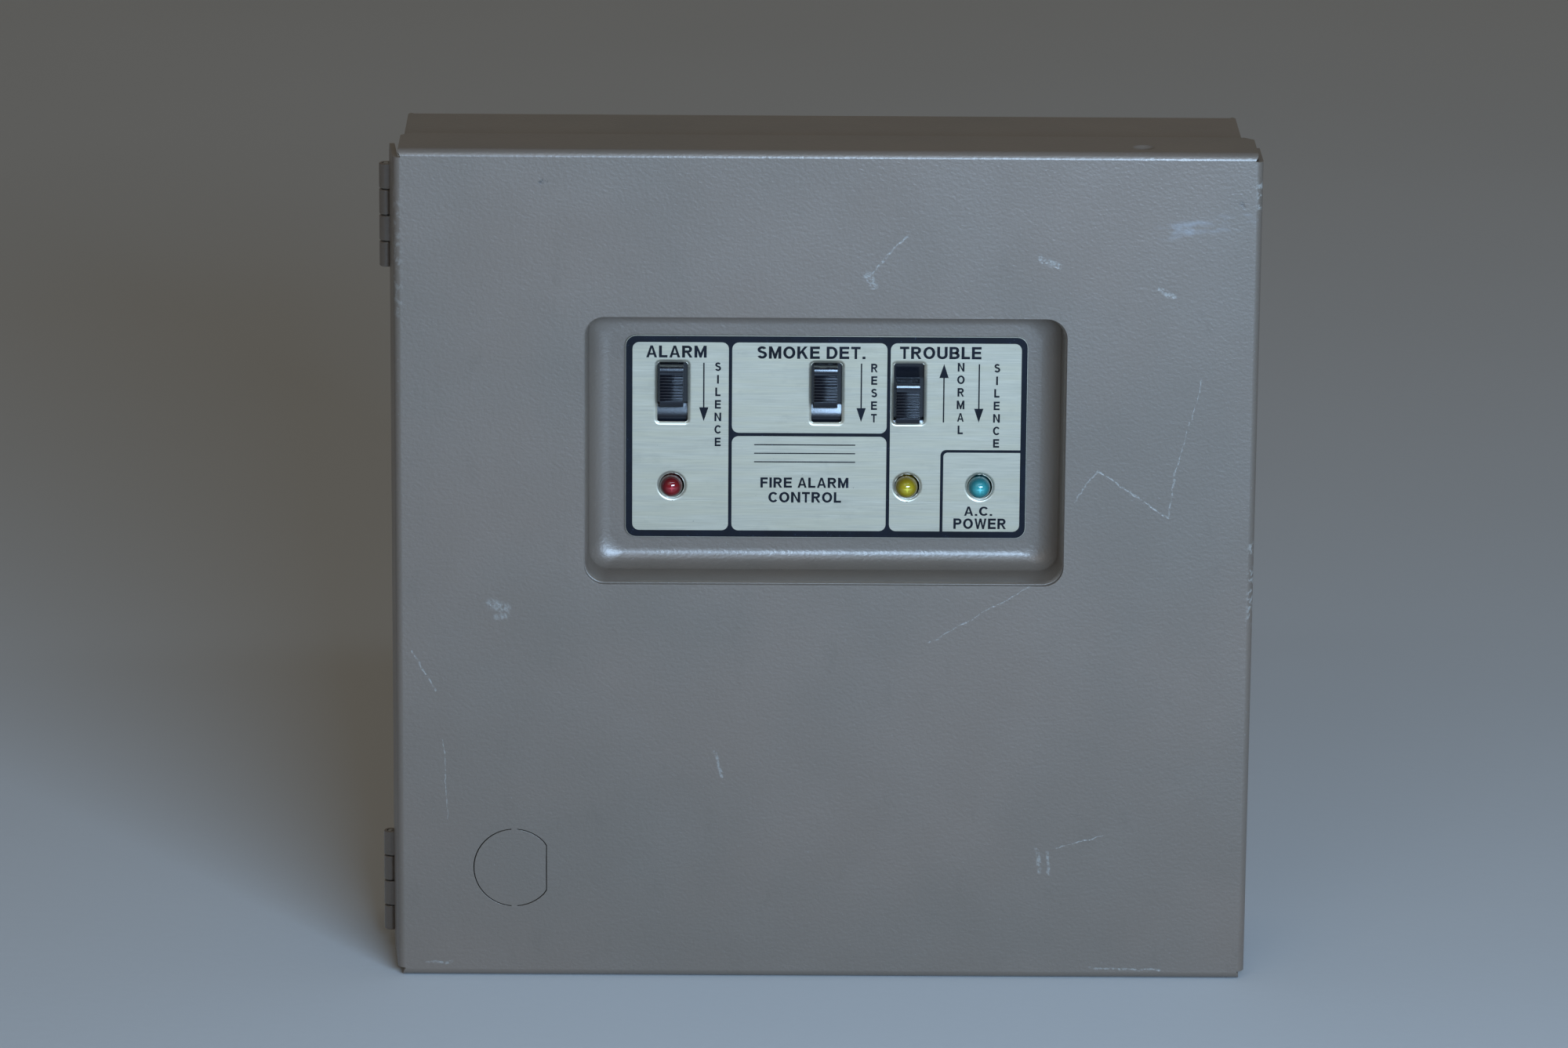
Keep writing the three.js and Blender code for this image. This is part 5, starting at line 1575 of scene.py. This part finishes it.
def battery():
    """A sealed battery: a ribbed case, a welded lid with six vent caps, and two spade tabs."""
    low, high = mm_box("standby_battery")
    top = high.z - 6
    x, y = (low.x + high.x) / 2, (low.y + high.y) / 2
    w, d = high.x - low.x, high.y - low.y
    shape = Shape()
    tiers = [(low.z, 0.5), (low.z + 0.6, 0), (top - 4.6, 0), (top - 4.4, 0.35), (top - 4.0, 0.35),
             (top - 3.8, 0), (top - 1.5, 0), (top - 1.3, 0.9), (top, 1.0)]
    rows = []
    for z, inset in tiers:
        x0, x1 = x - w / 2 + inset, x + w / 2 - inset
        y0, y1 = y - d / 2 + inset, y + d / 2 - inset
        ring = rounded([(x0, y0, 1.6), (x1, y0, 1.6), (x1, y1, 1.6), (x0, y1, 1.6)], 4)
        rows.append([(u, v, z) for u, v in ring])
    shape.loft(rows)
    cap = [(0, 0), (4.2, 0), (4.2, 0.25), (3.9, 0.4), (0, 0.4)]
    for i in range(6):
        shape.lathe(cap, (low.x + 10 + 11.5 * i, y, top - 0.02), 28, "z")
    shape.paint = 1
    tabs = [high.x - inset for inset in TAB_INSETS]
    for at in tabs:
        tab = [(at - 2.4, top - 0.2), (at + 2.4, top - 0.2), (at + 2.4, high.z - 0.6),
               (at + 1.8, high.z), (at - 1.8, high.z), (at - 2.4, high.z - 0.6)]
        shape.prism(tab, y - 0.4, y + 0.4, holes=[circle(at, high.z - 2.2, 0.7, 12)])
    for index, at in enumerate(tabs, 2):
        shape.paint = index
        collar, bore = circle(at, y, 4.2, 28), circle(at, y, 3.0, 28)
        shape.prism(collar, top - 0.02, top + 0.3, "z", holes=[bore])
    shape.paint = 4
    sticker = rounded_box(x - 6, (low.z + top) / 2 + 13, 46, 12, 0.8, 3)
    shape.prism(sticker, low.y - 0.06, low.y + 0.02)
    piece("standby_battery_case", shape, [CASE_GREY, BRASS, WIRES["red"], BLACK, PAPER], "cabinet",
          "standby_battery", bevel=0.08)


BATTERY_STRAP_SHEET = 1.0


def battery_strap():
    low, high = mm_box("battery_strap")
    case_low, case_high = mm_box("standby_battery")
    t = BATTERY_STRAP_SHEET
    foot = high.y - t / 2
    over = low.y + t / 2
    shape = Shape()
    left, right = case_low.x - 0.3 - t, case_high.x + 0.3 + t
    line = [(low.x, foot), (left, foot), (left, over), (right, over), (right, foot), (high.x, foot)]
    shape.prism(strip_outline(line, t, 1.1, 5), low.z, high.z, "z")
    piece("battery_strap_band", shape, ZINC, "cabinet", "battery_strap", bevel=0.15)


def lead(node, colour, tab_x, terminal_x):
    """One insulated lead from a battery tab to a terminal, with its spade and its bared end."""
    case_low, case_high = mm_box("standby_battery")
    middle_y = (case_low.y + case_high.y) / 2
    start = case_high.z + 0.4
    points = [
        (tab_x, middle_y, start - 0.6),
        (tab_x, middle_y - 0.5, start + 1.2),
        ((tab_x * 3 + terminal_x) / 4, middle_y - 4, start + 2.6),
        ((tab_x + terminal_x) / 2, middle_y - 7, start + 1.5),
        (terminal_x, middle_y - 8.4, start + 1.6),
        (terminal_x, middle_y - 6.8, start + 3.2),
    ]
    shape = Shape()
    shape.tube(smooth_path(points, 12), WIRE_RADIUS["lead"], 12)
    shape.paint = 1
    spade = rectangle(tab_x - 2.9, tab_x + 2.9, middle_y - 0.9, middle_y + 0.9)
    shape.prism(spade, start - 6.2, start - 1.6, "z")
    shape.paint = 2
    shape.tube([points[-1], (terminal_x, middle_y - 5.6, start + 5.6)], 0.45, 10)
    piece(f"{node}_lead", shape, [WIRES[colour], NYLON, TINNED], "cabinet", node)


def smooth_path(points, steps):
    """Points along a smooth curve through the given ones."""
    p = [Vector(q) for q in points]
    p = [p[0] * 2 - p[1], *p, p[-1] * 2 - p[-2]]
    path = []
    for i in range(1, len(p) - 2):
        for k in range(steps):
            t = k / steps
            a = 2 * p[i]
            b = (p[i + 1] - p[i - 1]) * t
            c = (2 * p[i - 1] - 5 * p[i] + 4 * p[i + 1] - p[i + 2]) * t * t
            d = (3 * p[i] - p[i - 1] - 3 * p[i + 1] + p[i + 2]) * t ** 3
            path.append((a + b + c + d) / 2)
    return [*path, p[-2]]


# The loom's route, from the main board's connector past the hinge to the door's switch board.
LOOM_ROUTE = [
    (-78.4, -13.2, -18), (-81.5, -13.3, -18.4), (-84.6, -14, -17.2), (-86, -15.4, -13),
    (-86.2, -16.6, -5), (-86.2, -17.8, 5), (-86.2, -19.1, 16), (-86, -20.4, 27),
    (-84.6, -21.8, 35.4), (-80, -22.7, 40.6), (-72, -23, 42), (-60, -23.1, 42), (-48, -23.1, 42),
    (-38.4, -23.1, 42),
]
LOOM_BEND = ((-86.2, -16, -10), (-86.2, -21, 34))  # where it turns from the cabinet to the door


def wiring_loom():
    """Seven twisted wires with five lacing ties, along a route past the door's hinge."""
    path = smooth_path(LOOM_ROUTE, 10)
    names = ["red", "yellow", "green", "blue", "white", "orange", "black"]
    shape = Shape()
    frames = []
    side = Vector((0, 1, 0))
    for i, point in enumerate(path):
        ahead = (path[min(i + 1, len(path) - 1)] - path[max(i - 1, 0)]).normalized()
        side = (side - ahead * side.dot(ahead)).normalized()
        frames.append((point, side.copy(), ahead.cross(side)))
    for k in range(len(names)):
        shape.paint = k
        strand = []
        for i, (point, across, other) in enumerate(frames):
            angle = TURN * (k / 6 + i / 34)
            reach = 0 if k == 6 else 1.5
            strand.append(point + reach * (across * math.cos(angle) + other * math.sin(angle)))
        shape.tube(strand, WIRE_RADIUS["loom"], 8)
    shape.paint = len(names)
    for at in (14, 40, 66, 92, 118):
        point, across, other = frames[at]
        ahead = across.cross(other)
        tie = [point + ahead * step for step in (-0.9, -0.85, 0.85, 0.9)]
        shape.tube(tie, lambda share: 2.1 if share in (0, 1) else 2.3, 18)
    materials = [WIRES[n] for n in names] + [NYLON]
    start, end = (Vector(place) * MM for place in LOOM_BEND)
    piece("wiring_loom_wires", shape, materials, None, "wiring_loom",
          bend=("cabinet", "door", start, end))


def switch_board():
    shape, low, high = board("switch_board", (4, 3.5))
    piece("switch_board_sheet", shape, [LAMINATE, TINNED], "door", "switch_board",
          bevel=0.08)
    solder = Shape()
    tracks = Shape()
    y = high.y
    plug = middle("switch_board_connector")
    for index, name in enumerate(SWITCHES):
        x = middle(f"{name}_switch_housing").x
        for dz in (-5, 0, 5):
            for dx in (-1.6, 1.6):
                joint(solder, x + dx, y, 40 + dz)
        lane = 24 + 2.2 * index
        end = -33 + index * 2
        track(tracks, [(x - 1.6, 34.9), (x - 1.6, lane + 2), (x - 4, lane - 0.4),
                       (end + 3, lane - 0.4), (end, lane + 2.6), (end, plug.z - 6.5)], y, 0.9)
        track(tracks, [(x + 1.6, 45.1), (x + 1.6, 48.4)], y, 0.9)
    track(tracks, [(-34, 48.4), (22, 48.4)], y, 1.6)
    for index, name in enumerate(LAMPS):
        x = middle(f"{name}_lamp").x
        for dx in (-1.27, 1.27):
            joint(solder, x + dx, y, 17.05)
        track(tracks, [(x + 1.27, 17), (x + 1.27, 12.6)], y, 0.9)
        track(tracks, [(x - 1.27, 17), (x - 1.27, 20.5 + index)], y, 0.9)
    track(tracks, [(-40, 12.6), (40, 12.6)], y, 1.6)
    piece("switch_board_joints", solder, SOLDER, "door")
    piece("switch_board_tracks", tracks, COPPER_TRACK, "door")


def inside():
    main_board()
    resistors()
    small_parts()
    for use in ("field", "power"):
        terminal_strip(f"{use}_terminal_strip")
    for use in ("alarm", "trouble"):
        relay(f"{use}_relay")
    sounder()
    filter_capacitor()
    heat_sink()
    regulator()
    bridge()
    for use in ("timer", "logic"):
        chip(f"{use}_chip")
    fuse_and_holder()
    connector("main_board_connector")
    connector("switch_board_connector", rear=True)
    for i in range(1, 5):
        spacer(f"main_board_standoff_{i}", 5, 1.6)
        screw(f"main_board_screw_{i}")
        spacer(f"switch_board_spacer_{i}", 4.5, 1.55)
        screw(f"switch_board_screw_{i}", outward=1)
    for i in (1, 2):
        nut(f"battery_strap_nut_{i}")
    battery()
    battery_strap()
    for colour, inset, terminal_x in zip(("red", "black"), TAB_INSETS, (66, 56.5)):
        lead(f"battery_lead_{colour}", colour, mm_box("standby_battery")[1].x - inset, terminal_x)
    wiring_loom()
    switch_board()


door_panel()
recess_pan()
label_plate()
label_print()
for switch in SWITCHES:
    slider(switch)
    switch_case(switch)
for lamp_name in LAMPS:
    deep, bright = LENS_TONES[lamp_name]
    lamp(lamp_name, lens(f"{LENS_SLOT[lamp_name]}_lens", deep, bright, middle(f"{lamp_name}_lamp")))
hinge("upper")
hinge("lower")
cabinet_shell()
inside()

# ---------------------------------------------------------------- camera, light and floor


# Millimetres of lens, metres from the part's origin, and degrees, as fitted to the photograph.
CAMERA = {"lens": 170.94, "sensor": 36, "place": (-0.02259, -1.74379, 0.48627),
          "yaw": -0.437, "down": 15.667, "roll": 0.426}
# Name, place, target, width, height in metres, watts and tone.
LIGHTS = [
    ("key", (0.30, -1.08, 0.34), (0, 0, 0.04), 0.6, 0.2, 15, (0.46, 0.69, 1.0)),
    ("strip", (0.12, -0.75, 0.75), (0, -0.05, 0.1), 0.9, 0.05, 1.2, (0.6, 0.78, 1.0)),
    ("fill", (-0.4, -0.9, 0.6), (0, 0, 0), 0.7, 0.5, 0.6, (1.0, 0.93, 0.82)),
]
AMBIENT_TONE, AMBIENT_STRENGTH = (1.0, 0.91, 0.76, 1), 0.14


def camera():
    """The viewing angle: a long lens, a little above the panel and looking down on it."""
    data = bpy.data.cameras.new("camera")
    data.lens = CAMERA["lens"]
    data.sensor_width = CAMERA["sensor"]
    data.clip_start, data.clip_end = 0.05, 50
    made = bpy.data.objects.new("camera", data)
    bpy.context.scene.collection.objects.link(made)
    yaw, down, roll = (math.radians(CAMERA[angle]) for angle in ("yaw", "down", "roll"))
    turn = Matrix.Rotation(yaw, 4, "Z") @ Matrix.Rotation(math.pi / 2 - down, 4, "X")
    turn = turn @ Matrix.Rotation(roll, 4, "Z")
    made.matrix_world = Matrix.Translation(CAMERA["place"]) @ turn
    bpy.context.scene.camera = made


def area_light(name, place, target, width, height, power, tone):
    data = bpy.data.lights.new(name, "AREA")
    data.shape = "RECTANGLE"
    data.size, data.size_y = width, height
    data.energy = power
    data.color = tone
    made = bpy.data.objects.new(name, data)
    made.location = place
    made.rotation_euler = (Vector(target) - Vector(place)).to_track_quat("-Z", "Y").to_euler()
    bpy.context.scene.collection.objects.link(made)


def studio():
    """A plain pale floor just under the panel, the lights and the room's own light."""
    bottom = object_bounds()[0].z - 0.0002
    mesh = bpy.data.meshes.new("floor")
    mesh.from_pydata([(x, y, bottom) for x, y in rectangle(-3, 3, -4, 3)], [], [(0, 1, 2, 3)])
    floor = bpy.data.objects.new("floor", mesh)
    bpy.context.scene.collection.objects.link(floor)
    f = Finish("floor", Roughness=0.8)
    colour = f.mix(f.noise(240, 3), linear(198, 198, 196), linear(206, 206, 205))
    f.colour(colour).bump(f.noise(3, 2), 0.05)
    mesh.materials.append(f.material)
    for light in LIGHTS:
        area_light(*light)
    world = bpy.data.worlds.new("world")
    world.use_nodes = True
    background = world.node_tree.nodes["Background"]
    background.inputs[0].default_value = AMBIENT_TONE
    background.inputs[1].default_value = AMBIENT_STRENGTH
    bpy.context.scene.world = world
    bpy.context.scene.view_settings.view_transform = "Standard"


camera()
studio()
